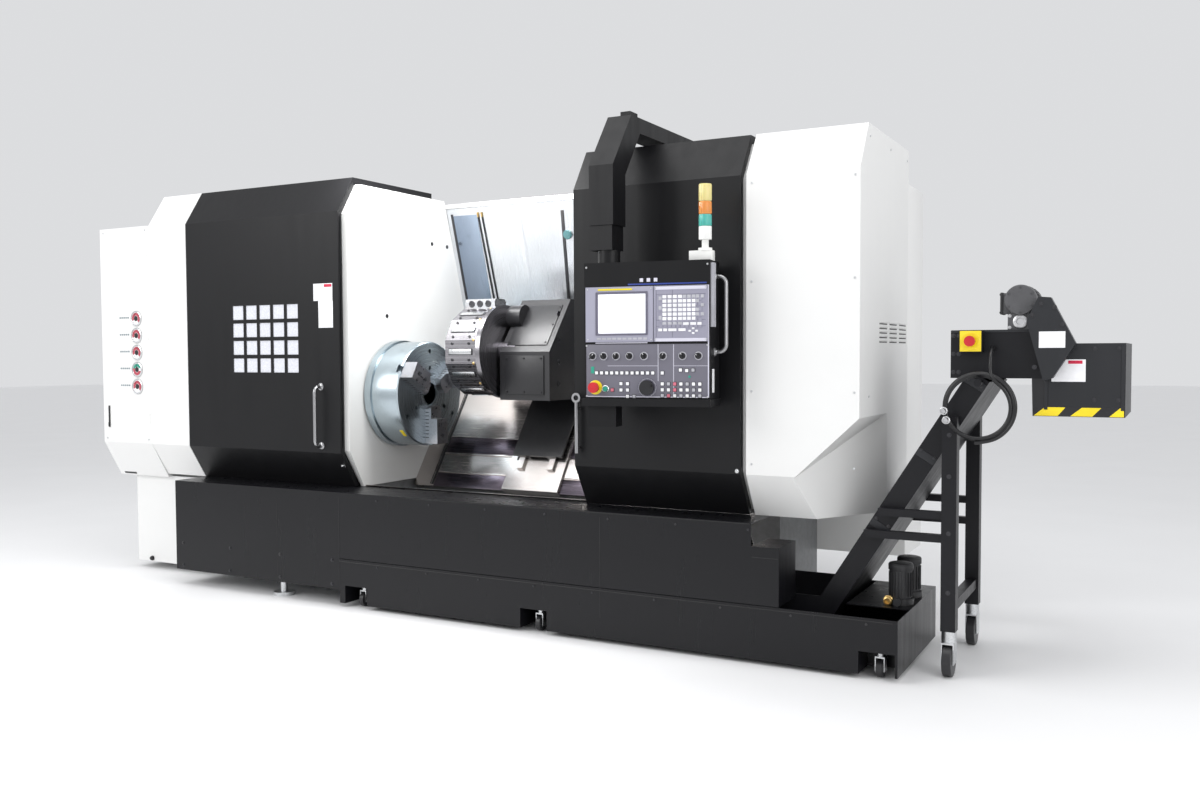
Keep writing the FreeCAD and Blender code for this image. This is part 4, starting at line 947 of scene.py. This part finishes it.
def onWayCover(x, along, level):
    # this far up the slanted covers and this far above them
    slope = math.radians(wayCovers["slope"])
    y = wayCovers["lowY"] + along * math.cos(slope) - level * math.sin(slope)
    z = wayCovers["lowZ"] + along * math.sin(slope) + level * math.cos(slope)
    out = (0, -math.sin(slope), math.cos(slope))
    return facing(spot(x, y, z), out, (0, math.cos(slope), math.sin(slope)))


def buildWayWipers():
    # a dark wiper along the leading edge of every sliding sheet
    for name, body, lefts in (
        ("innerWipers", "way_cover", (3430.0,)), ("carriageWipers", "carriage", (1980.0, 3208.0))
    ):
        bm = bmesh.new()
        level = 5.2 if body == "way_cover" else 8.2
        for k, x in enumerate(lefts):
            place = onWayCover(x, wayCovers["middle"], level)
            slab(bm, place, 13, 770, 2.6, 0.9)
            slab(bm, place @ Matrix.Translation((0.012 if k else -0.012, 0, 0)), 4, 770, 3.6, 0.9)
        piece(name, bm, blackRubber, body)
    # painted reflection: flat dark sheet bands laid on the covers stand in for the dark reflection bands on the steel;
    # the narrow raised ridges beside them keep the covers' own steel
    dark, bright = bmesh.new(), bmesh.new()
    for bm, low, high, thick in (
        (dark, -20, 78, 0.8), (dark, -232, -148, 0.8), (bright, -32, -22, 4.0),
        (bright, -146, -139, 3.0), (bright, 78, 84, 3.0)
    ):
        for x, w in ((2216.0, 452), (2995.0, 420)):
            place = onWayCover(x, (low + high) / 2, 8.0)
            slab(bm, place, w, high - low, thick, 0.3)
    piece("paintedReflectionBands", dark, reflectionDarkSheet, "carriage")
    piece("coverRidges", bright, wayStainless, "carriage")


backPanel = {"topY": 885, "topZ": 2060, "lean": 0.293}


def backPanelY(z):
    return backPanel["topY"] + (backPanel["topZ"] - z) * backPanel["lean"]


def onBackPanel(x, z, above=0):
    return facing(spot(x, backPanelY(z + above), z), (0, -1, -backPanel["lean"]))


def buildBackPanelRods():
    dark, tops = bmesh.new(), bmesh.new()
    for x0, z0, x1, z1 in ((2064, 2060, 2076, 1560), (2090, 2060, 2102, 1560)):
        wide = 8
        y0, y1 = backPanelY(z0) - 5, backPanelY(z1) - 5
        low, high = spot(x1, y1, z1), spot(x0, y0, z0)
        axis = (high - low).normalized()
        turned(
            dark, facing(low, axis, (0, 1, 0)), [(wide / 2, 0),
            (wide / 2, (high - low).length * 1000), (0, (high - low).length * 1000)], 16
        )
        turned(
            tops, facing(high, -axis, (0, 1, 0)), [(wide / 2 + 1.5, 0), (wide / 2 + 1.5, 24),
            (wide / 2 + 0.5, 27)], 16
        )
    lean = backPanel["lean"]
    strip = facing(spot(2592, backPanelY(1640) - 7, 1800), (0, -1, -lean), (0.085, -lean, 1))
    slab(dark, strip, 17, 520, 5, 1.5, 38)
    slab(dark, onBackPanel(1884, 1820), 14, 500, 4, 1.2)
    piece("panelRods", dark, darkOxide, "machine")
    blue = bmesh.new()
    slab(blue, onBackPanel(1972, 1810), 168, 500, 1.6, 0.6)
    piece("bluePanel", blue, blueSheet, "machine")
    lamp = bmesh.new()
    turned(lamp, onBackPanel(2628, 1909, 1), [(26, 0), (26, 10), (23, 14), (8, 17), (0, 17)], 30)
    piece("panelLamp", lamp, tealLamp, "machine")
    piece("panelRodCaps", tops, brassTone, "machine")
    seams = bmesh.new()
    for x in (2330, 2890, 3450, 4010):
        mid = onBackPanel(x, 1680)
        slab(seams, mid, 34, 800, 1.4, 0.6)
        for dz in (-360, -120, 120, 360):
            capScrew(seams, mid @ Matrix.Translation((0, dz / 1000, 0.0014)), 4.5, 2.2)
    piece("panelSeams", seams, panelStainless, "machine")


buildTurret()
buildTurretHousing()
buildWayWipers()
buildBackPanelRods()
print("work area detailed")


# signal tower
tower = {
    "px": 501.0, "z": 1766.0, "r": 25.8, "lenses": ((48.0, "Green", lensGreen),
    (52.0, "Orange", lensOrange), (70.0, "Yellow", lensYellow))
}


def buildTower():
    z = tower["z"]
    made = []
    for height, name, material in tower["lenses"]:
        bm = bmesh.new()
        place = facing(onPendant(tower["px"], z, -52).translation, (0, 0, 1), (0, 1, 0))
        r = tower["r"]
        turned(
            bm, place, [(r - 4, 0), (r - 4, 2), (r - 0.6, 2.2), (r, 3.4), (r, height - 3),
            (r - 1, height - 0.8), (0, height - 0.2)], 64
        )
        for rib in around(place, 48, (r / 1000, 0, 0.004)):
            slab(bm, rib, 0.8, 1.3, height - 9, 0.25, 0.5)
        made.append(piece("tower" + name, bm, material, "pendant"))
        z += height
    for lens in made:
        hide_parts("tower_lenses")


buildTower()


# control pendant
pendant = {"knobs": (36, 84, 138, 196, 258, 338, 420, 486), "knobZ": 1247, "dial": (272, 1118)}


def key(bm, px, z, w, h, out=6.0, d=3.2):
    slab(bm, onPendant(px, z, out), w, h, d, min(1.4, w / 5, h / 5), -0.3)


def buildKeys():
    light, grey, dark = bmesh.new(), bmesh.new(), bmesh.new()
    for z in (1479, 1441, 1401):
        key(grey, 329, z, 13, 15)
    for row in range(6):
        z = 1485 - 17.6 * row
        for col in range(4):
            key(light, 347 + 21.6 * col, z, 17, 13.4)
        for col in range(3):
            key(light if row else grey, 430 + 19 * col, z, 15, 13.4)
    for px, z in (
        (484, 1485), (484, 1467), (484, 1432), (484, 1414), (504, 1485), (504, 1450), (504, 1414)
    ):
        key(grey, px, z, 13, 13.4)
    for px in (347, 369, 390, 412):
        key(grey, px, 1378, 17, 11.4)
    for px, z, w in (
        (436, 1376, 24), (466, 1376, 24), (492, 1376, 18), (329, 1352, 16), (350, 1352, 16),
        (380, 1352, 34), (420, 1352, 30)
    ):
        key(light, px, z, w, 11.4)
    for px, z in ((466, 1357), (452, 1347), (480, 1347), (466, 1338)):
        key(light, px, z, 11, 7.6)
    for k in range(10):
        key(dark, 66 + 22.2 * k, 1318, 17, 9.5, 6.0, 2.0)
    piece("lightKeys", light, whiteKey, "pendant")
    piece("greyKeys", grey, greyKey, "pendant")
    piece("softKeys", dark, greyKey, "pendant")
    rules = bmesh.new()
    for px in (312.0, 380.0):
        key(rules, px, 1418, 1.4, 190, 6.0, 1.0)
    for z in (1366.5, 1391, 1494):
        key(rules, 414, z, 206, 1.2, 6.0, 1.0)
    piece("keyPadRules", rules, darkLilac, "pendant")


def buildScreen():
    bm = bmesh.new()
    slab(bm, onPendant(164, 1420.5, 3.2), 204, 161, 1.2, 0.4)
    piece("displayGlass", bm, screenFace, "pendant")
    bm = bmesh.new()
    for px, z, w, h in (
        (164, 1505.5, 222, 8), (164, 1335, 222, 6), (56, 1420, 8, 172), (272, 1420, 8, 172)
    ):
        key(bm, px, z, w, h, 6.0, 3.6)
    piece("displayFrame", bm, darkLilac, "pendant")
    strips = bmesh.new()
    key(strips, 136, 1519, 148, 7, 6.0, 1.2)
    piece("displayStrip", strips, yellowTape, "pendant")
    pale = bmesh.new()
    key(pale, 161, 1301, 224, 4, 0.4, 1.2)
    for z in (1520, 1312):
        key(pale, 414, z, 212, 13, 6.0, 1.2)
    for px in (248, 278, 308):
        key(pale, px, 1555, 15, 15, 0.2, 1.4)
    piece("paleStrips", pale, paleLilac, "pendant")
    blue = bmesh.new()
    key(blue, 355, 1538.5, 330, 6, 0.2, 1.2)
    piece("blueStripe", blue, blueStrip, "pendant")
    corners = bmesh.new()
    for px, z in (
        (17, 1314), (17, 1521), (290, 1314), (290, 1521), (309, 1521), (519, 1521), (309, 1314),
        (519, 1314)
    ):
        capScrew(corners, onPendant(px, z, 6), 3.2, 2)
    for px, z in ((10, 1612), (523, 1612), (10, 1082), (523, 1082), (10, 1290), (523, 1290)):
        capScrew(corners, onPendant(px, z, 0), 4, 2.4)
    piece("pendantScrews", corners, zinc, "pendant")


def buildControls():
    sheet = bmesh.new()
    key(sheet, 266.5, 1189, 517, 213, 0, 0.9)
    piece("controlSheet", sheet, controlPanel, "pendant")
    lines = bmesh.new()
    for px, z, w, h in (
        (266.5, 1080.5, 517, 4), (527, 1305, 5, 450), (318, 1220, 2.4, 150), (383, 1190, 2.4, 208),
        (210, 1207, 216, 1.6), (454, 1207, 140, 1.6)
    ):
        key(lines, px, z, w, h, 0.8, 1.0)
    piece("panelLines", lines, paleLilac, "pendant")
    white = bmesh.new()
    slab(white, onPendant(487, 1649, -30), 95, 40, 2, 0.8)
    slab(white, onPendantSide(53, 1649), 46, 40, 2, 0.8)
    slab(white, facing(onPendant(487, 1668, -53).translation, (0, 0, 1), (0, 1, 0)), 92, 44, 2, 0.8)
    piece("towerBracket", white, towerWhite, "pendant")
    caps, marks, skirts = bmesh.new(), bmesh.new(), bmesh.new()
    pointers = (-40, 20, -10, 35, 0, -30, 15, 50)
    for px, turn in zip(pendant["knobs"], pointers):
        base = onPendant(px, pendant["knobZ"])
        turned(skirts, base, [(17, 0), (17, 1.4), (15.6, 2.2), (11, 2.2)], 32)
        turned(caps, base, [(13, 2), (12.6, 9), (11.6, 11), (0, 11.4)], 32)
        grip = base @ Matrix.Rotation(math.radians(turn), 4, "Z")
        slab(caps, grip, 7, 27, 9, 2, 10)
        slab(marks, grip @ Matrix.Translation((0, 0.0085, 0)), 1.8, 8, 0.7, 0.2, 18.6)
        for k in range(9):
            tick = base @ Matrix.Rotation(math.radians(-112 + 28 * k), 4, "Z") @ Matrix.Translation((0, 0.0205, 0))
            slab(marks, tick, 1.2, 4, 0.5, 0.1)
    made = piece("selectorKnobs", caps, blackPlastic, "pendant")
    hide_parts("panel_controls")
    piece("knobSkirts", skirts, greyKey, "pendant")

    white, grey, pink, green, bezels = (bmesh.new() for _ in range(5))
    spots = [(54 + 22 * k, 1178, white) for k in range(12)]
    spots += [(336, 1178, white), (412, 1190, white), (438, 1188, white), (464, 1190, grey)]
    spots += [
        (160, 1134, white), (188, 1134, white), (160, 1108, white), (188, 1108, white),
        (188, 1082, white), (216, 1082, grey), (122, 1108, pink)
    ]
    for i in range(7):
        for j in range(3):
            bm = pink if (i, j) in ((2, 2), (2, 1), (1, 0)) else white if (i + j) % 3 else grey
            spots.append((336 + 26 * i, 1086 + 24 * j, bm))
    for px, z, bm in spots:
        key(bezels, px, z, 17, 17, 0, 2.4)
        key(bm, px, z, 13, 13, 2.0, 3.0)
    turned(green, onPendant(449, 1163), [(5, 0), (5, 2), (4, 3.4), (0, 4)], 20)
    piece("buttonBezels", bezels, blackPlastic, "pendant")
    piece("whiteButtons", white, whiteKey, "pendant")
    piece("greyButtons", grey, greyKey, "pendant")
    piece("redButtons", pink, pinkCap, "pendant")
    piece("greenLamp", green, greenCap, "pendant")
    for k in range(60):
        tick = onPendant(*pendant["dial"]) @ Matrix.Rotation(k * math.pi / 30, 4, "Z") @ Matrix.Translation((0, 0.0365, 0))
        slab(marks, tick, 0.9, 5.5 if k % 5 == 0 else 3.2, 0.5, 0.1, 0.9)
    piece("controlMarks", marks, whiteKey, "pendant")
    rings = bmesh.new()
    turned(rings, onPendant(*pendant["dial"]), [(31, 0), (31, 0.9), (41, 0.9), (42, 0)], 60)
    piece("dialScale", rings, darkLilac, "pendant")
    ring = bmesh.new()
    turned(ring, onPendant(48, 1118), [(11, 0), (11, 2), (27, 2.6), (29.5, 1.6), (30, 0)], 48)
    piece("stopRing", ring, yellowPlastic, "pendant")
    ring = bmesh.new()
    turned(ring, onPendant(92, 1112), [(10.6, 0), (10.6, 5), (13, 5.6), (15, 4), (15, 0)], 36)
    piece("startCollar", ring, brightSteel, "pendant")
    rim = bmesh.new()
    for notch in around(onPendant(*pendant["dial"], 2), 30, (0, 0.0300, 0.008)):
        slab(rim, notch, 2.4, 1.6, 12, 0.4, -6)
    piece("dialGrip", rim, blackPlastic, "pulse_dial")
    tag = bmesh.new()
    key(tag, 36, 1190, 16, 30, 0, 1.0)
    piece("pendantTag", tag, greenCap, "pendant")


buildKeys()
buildScreen()
buildControls()
print("pendant detailed")


# chip conveyor and its drive
conveyor = {
    "front": 120.0, "motorX": 5052.0, "motorZ": 1452.0,
    "slope": 58, "inclineX": 4475, "inclineZ": 549,
}


def onConveyor(x, z):
    return onFront(x, z, -conveyor["front"])


def onIncline(along, across):
    # this far up the incline's side plate and across it
    slope = math.radians(conveyor["slope"])
    x = conveyor["inclineX"] + along * math.cos(slope) + across * math.sin(slope)
    z = conveyor["inclineZ"] + along * math.sin(slope) - across * math.cos(slope)
    return onConveyor(x, z)


def buildConveyorPlates():
    bm = bmesh.new()
    place = onFront(4884, 1298, -65)
    turned(bm, place, [(14, 0), (14, 1.2), (34, 2.2), (36, 1), (36, 0)], 48)
    slab(bm, onFront(4884, 1298, -65), 78, 78, 1.4, 0.8)
    piece("conveyorStopPlate", bm, yellowPlastic, "machine")
    plates, bars = bmesh.new(), bmesh.new()
    slab(plates, onFront(5169, 1301, -74), 90, 60, 1.2, 0.6)
    slab(plates, onConveyor(5222, 1187), 116, 82, 1.2, 0.6)
    slab(bars, onFront(5245, 1218, -118.8), 48, 12, 0.5, 0.2)
    piece("conveyorPlates", plates, blankPlate, "machine")
    piece("conveyorPlateBar", bars, redBar, "machine")
    stripes, ground = bmesh.new(), bmesh.new()
    flatShape(ground, onConveyor(5100, 1017), [(-4, 140), (44, 140), (44, 0), (0, 0)], 3.0, -3.0)
    slab(ground, onConveyor(5255, 1035), 308, 34, 0.8, 0.3)
    for low0, low1, high0, high1 in ((4, 87, 43, 113), (130, 204, 169, 234), (260, 308, 295, 308)):
        flatShape(
            stripes, onFront(5100, 1019, -119.2), [(low0, 0), (low1, 0), (high1, 32), (high0, 32)],
            0.5
        )
    piece("stripeGround", ground, blackPlastic, "machine")
    piece("warningStripes", stripes, yellowPlastic, "machine")


def buildConveyorBolts():
    bm = bmesh.new()
    for x in (4816, 4836):
        for z in (1180, 1250, 1320):
            hexBolt(bm, onConveyor(x - 4, z), 6, 5)
    for x in (5310, 5390):
        for z in (1080, 1268):
            hexBolt(bm, onConveyor(x, z), 6, 5)
    for x, z in ((5100, 1392), (5130, 1432), (5176, 1420), (5204, 1356), (5110, 1200)):
        hexBolt(bm, onFront(x, z, -74), 6, 5)
    for s in range(60, 760, 330):
        for t in (14, 71):
            hexBolt(bm, onIncline(s, t), 5.4, 4.6)
    for z in (330, 560, 780, 940):
        hexBolt(bm, onFront(4810, z, -64), 6.4, 5)
    piece("conveyorBolts", bm, darkOxide, "machine")
    seams = bmesh.new()
    for s in (40, 380, 720):
        place = onIncline(s, 42.5) @ Matrix.Rotation(math.radians(conveyor["slope"]), 4, "Z")
        slab(seams, place, 30, 82, 3, 1)
    for x in (5146, 5404):
        slab(seams, onConveyor(x, 1160), 12, 236, 3, 1)
    slab(seams, onConveyor(4962, 1336), 316, 10, 3, 1)
    piece("conveyorFlanges", seams, conveyorCoat, "machine")


def buildMotor():
    fins, caps, box = bmesh.new(), bmesh.new(), bmesh.new()
    body = facing(spot(conveyor["motorX"], 130, conveyor["motorZ"]), (0, 1, 0))
    for fin in around(body, 28, (0, 0.0535, 0.098)):
        slab(fins, fin, 2.2, 9, 118, 0.8, -59)
    turned(caps, body, [(40, -9), (54, -8), (57, -2), (57, 32), (55, 36), (46, 37)], 48)
    turned(caps, body, [(52, 160), (56, 162), (56, 198), (50, 206), (40, 209), (0, 209)], 48)
    for ring in around(body, 6, (0, 0.047, 0.0)):
        capScrew(
            caps, ring @ Matrix.Rotation(math.pi, 4, "X") @ Matrix.Translation((0, 0, 0.0085)), 4, 3
        )
    slab(box, facing(spot(5000 - 13, 195, 1441), (-1, 0, 0)), 76, 84, 12, 4)
    for dy in (-30, 30):
        for dz in (-34, 34):
            capScrew(box, facing(spot(4975, 195 + dy, 1441 + dz), (-1, 0, 0)), 3.6, 2.4)
    piece("motorFins", fins, motorGrey, "machine")
    piece("motorEnds", caps, motorGrey, "machine")
    piece("terminalCover", box, motorCoat, "machine")
    bm = bmesh.new()
    face = onFront(5051, 1371, -140)
    turned(bm, face, [(26, 0), (26, 3), (22, 5), (14, 5), (12, 3), (0, 3)], 40)
    for at in around(face, 6, (0.0205, 0, 0.0045)):
        hexBolt(bm, at, 2.6, 3)
    for dx in (-38, 38):
        for dz in (-22, 22):
            hexBolt(bm, onFront(5051 + dx, 1371 + dz, -140), 4.4, 4)
    piece("gearboxFlange", bm, aluminium, "machine")


buildConveyorPlates()
buildConveyorBolts()
buildMotor()
print("conveyor detailed")


# base, tank and its pumps
def buildBase():
    seams = bmesh.new()
    for z, x0, x1 in ((569, 2320, 4067), (436, 4076, 4186)):
        slab(seams, onFront((x0 + x1) / 2, z, 110), x1 - x0, 3, 1, 0.3)
    for x in (1480, 1900, 3380):
        slab(seams, onFront(x, 330 if x > 1500 else 300, 110), 2.6, 440, 0.9, 0.3)
    slab(seams, onFront(3270, 229, 110), 2740, 4.5, 1.4, 0.6)
    piece("baseSeams", seams, blackRubber, "machine")
    bolts = bmesh.new()
    for x, z in (
        (1138, 232), (1134, 111), (1498, 229), (1496, 111), (1852, 230), (1849, 109), (780, 232),
        (780, 111)
    ):
        hexBolt(bolts, onFront(x, z, 110), 6.5, 5)
    for x in range(2140, 4600, 300):
        capScrew(bolts, onFront(x, 216, 110), 5, 3)
    for x in range(2140, 4100, 320):
        capScrew(bolts, onFront(x, 545, 110), 5, 3)
    piece("baseBolts", bolts, darkOxide, "machine")


def buildPumps():
    bm = bmesh.new()
    for y in (200, 350):
        place = facing(spot(4600, y, 240), (0, 0, 1), (0, 1, 0))
        for fin in around(place, 20, (0, 0.0455, 0.034)):
            slab(bm, fin, 2.2, 5, 98, 0.7)
        turned(
            bm, place, [(48.5, 139), (49.5, 141), (49.5, 160), (45, 166), (38, 168), (0, 168)], 40
        )
        for at in around(place, 6, (0.0475, 0, 0.026)):
            hexBolt(bm, at, 3.2, 4)
    piece("pumpFins", bm, motorCoat, "machine")
    bm = bmesh.new()
    turned(
        bm, facing(spot(4560, 160, 257), (0, -1, 0)),
        [(20, -6), (20, 6), (17, 8), (17, 20), (12, 22), (12, 6), (0, 6)], 32
    )
    turned(
        bm, facing(spot(4600, 340, 257), (0, -1, 0)), [(20, 60), (20, 66), (17, 70), (13, 70)], 32
    )
    piece("pumpUnions", bm, brassTone, "machine")


buildBase()
buildPumps()


# end cover and the cabinet behind
def buildEndCover():
    vents = bmesh.new()
    for z in (1304, 1323, 1342, 1361, 1380):
        for y in (370, 545, 720):
            slab(vents, facing(spot(4480, y, z), (1, 0, 0)), 132, 7, 0.6, 0.3)
            slab(vents, facing(spot(4480, y, z + 4.4), (1, 0, -0.5)), 134, 5, 3.4, 1.2)
    piece("endCoverVents", vents, wallCoat, "machine")
    dark = bmesh.new()
    for z in (1304, 1323, 1342, 1361, 1380):
        for y in (370, 545, 720):
            slab(dark, facing(spot(4480, y, z - 3.2), (1, 0, 0)), 128, 4.5, 1.1, 0.3)
    piece("endCoverSlots", dark, blackRubber, "machine")
    bm = bmesh.new()
    for z in (800, 1100, 1550, 1950):
        for x in (4034, 4460):
            capScrew(bm, onFront(x, z), 4.6, 2.6)
    for y in (140, 480, 790):
        for z in (1080 if y < 470 else 640, 2120):
            capScrew(bm, facing(spot(4480, y, z), (1, 0, 0)), 4.6, 2.6)
    piece("endCoverScrews", bm, zinc, "machine")


rear = {"left": 430.0, "right": 4395.0, "low": 250.0, "top": 2080.0, "doors": 5}


def buildRearCabinet():
    width = rear["right"] - rear["left"]
    height = rear["top"] - rear["low"]
    middle = facing(
        spot((rear["left"] + rear["right"]) / 2, 1180, rear["low"] + height / 2), (0, 1, 0)
    )
    bm = bmesh.new()
    slab(bm, middle, width, height, 363, 4)
    slab(
        bm, facing(spot((rear["left"] + rear["right"]) / 2, 1034, rear["top"] - 4), (0, 0, 1),
        (0, 1, 0)), width, 292, 4, 0.5
    )
    made = piece("rearBody", bm, whiteCoat, "machine")
    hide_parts("rear_cabinet")
    panels, blades, latches = bmesh.new(), bmesh.new(), bmesh.new()
    pitch = width / rear["doors"]
    for k in range(rear["doors"]):
        x = rear["left"] + pitch * (k + 0.5)
        w, h = pitch - 10, height - 16
        back = facing(spot(x, 1543, rear["low"] + height / 2), (0, 1, 0))
        hole = 260
        side = (w - hole * 1.7) / 2
        for dx, dz, pw, ph in (
            (0, (h + hole) / 4, w, (h - hole) / 2), (0, -(h + hole) / 4, w, (h - hole) / 2),
            ((w - side) / 2, 0, side, hole), (-(w - side) / 2, 0, side, hole)
        ):
            slab(panels, back @ Matrix.Translation((dx / 1000, dz / 1000, 0)), pw, ph, 6, 0.8)
        for n in range(9):
            z = -hole / 2 + 16 + n * (hole - 32) / 8
            blade = back @ Matrix.Translation((0, z / 1000, 0.0030)) @ Matrix.Rotation(math.radians(26), 4, "X")
            slab(blades, blade, hole * 1.7, 11, 1.2, 0.4, -0.6)
        slab(latches, back @ Matrix.Translation((w / 2000 - 0.04, 0.24, 0.006)), 22, 96, 0.8, 0.3)
    piece("rearDoors", panels, whiteCoat, "machine")
    piece("rearLouvres", blades, wallCoat, "machine")
    piece("rearLatches", latches, blackPlastic, "machine")


buildEndCover()
buildRearCabinet()
print("base, end cover and rear cabinet detailed")
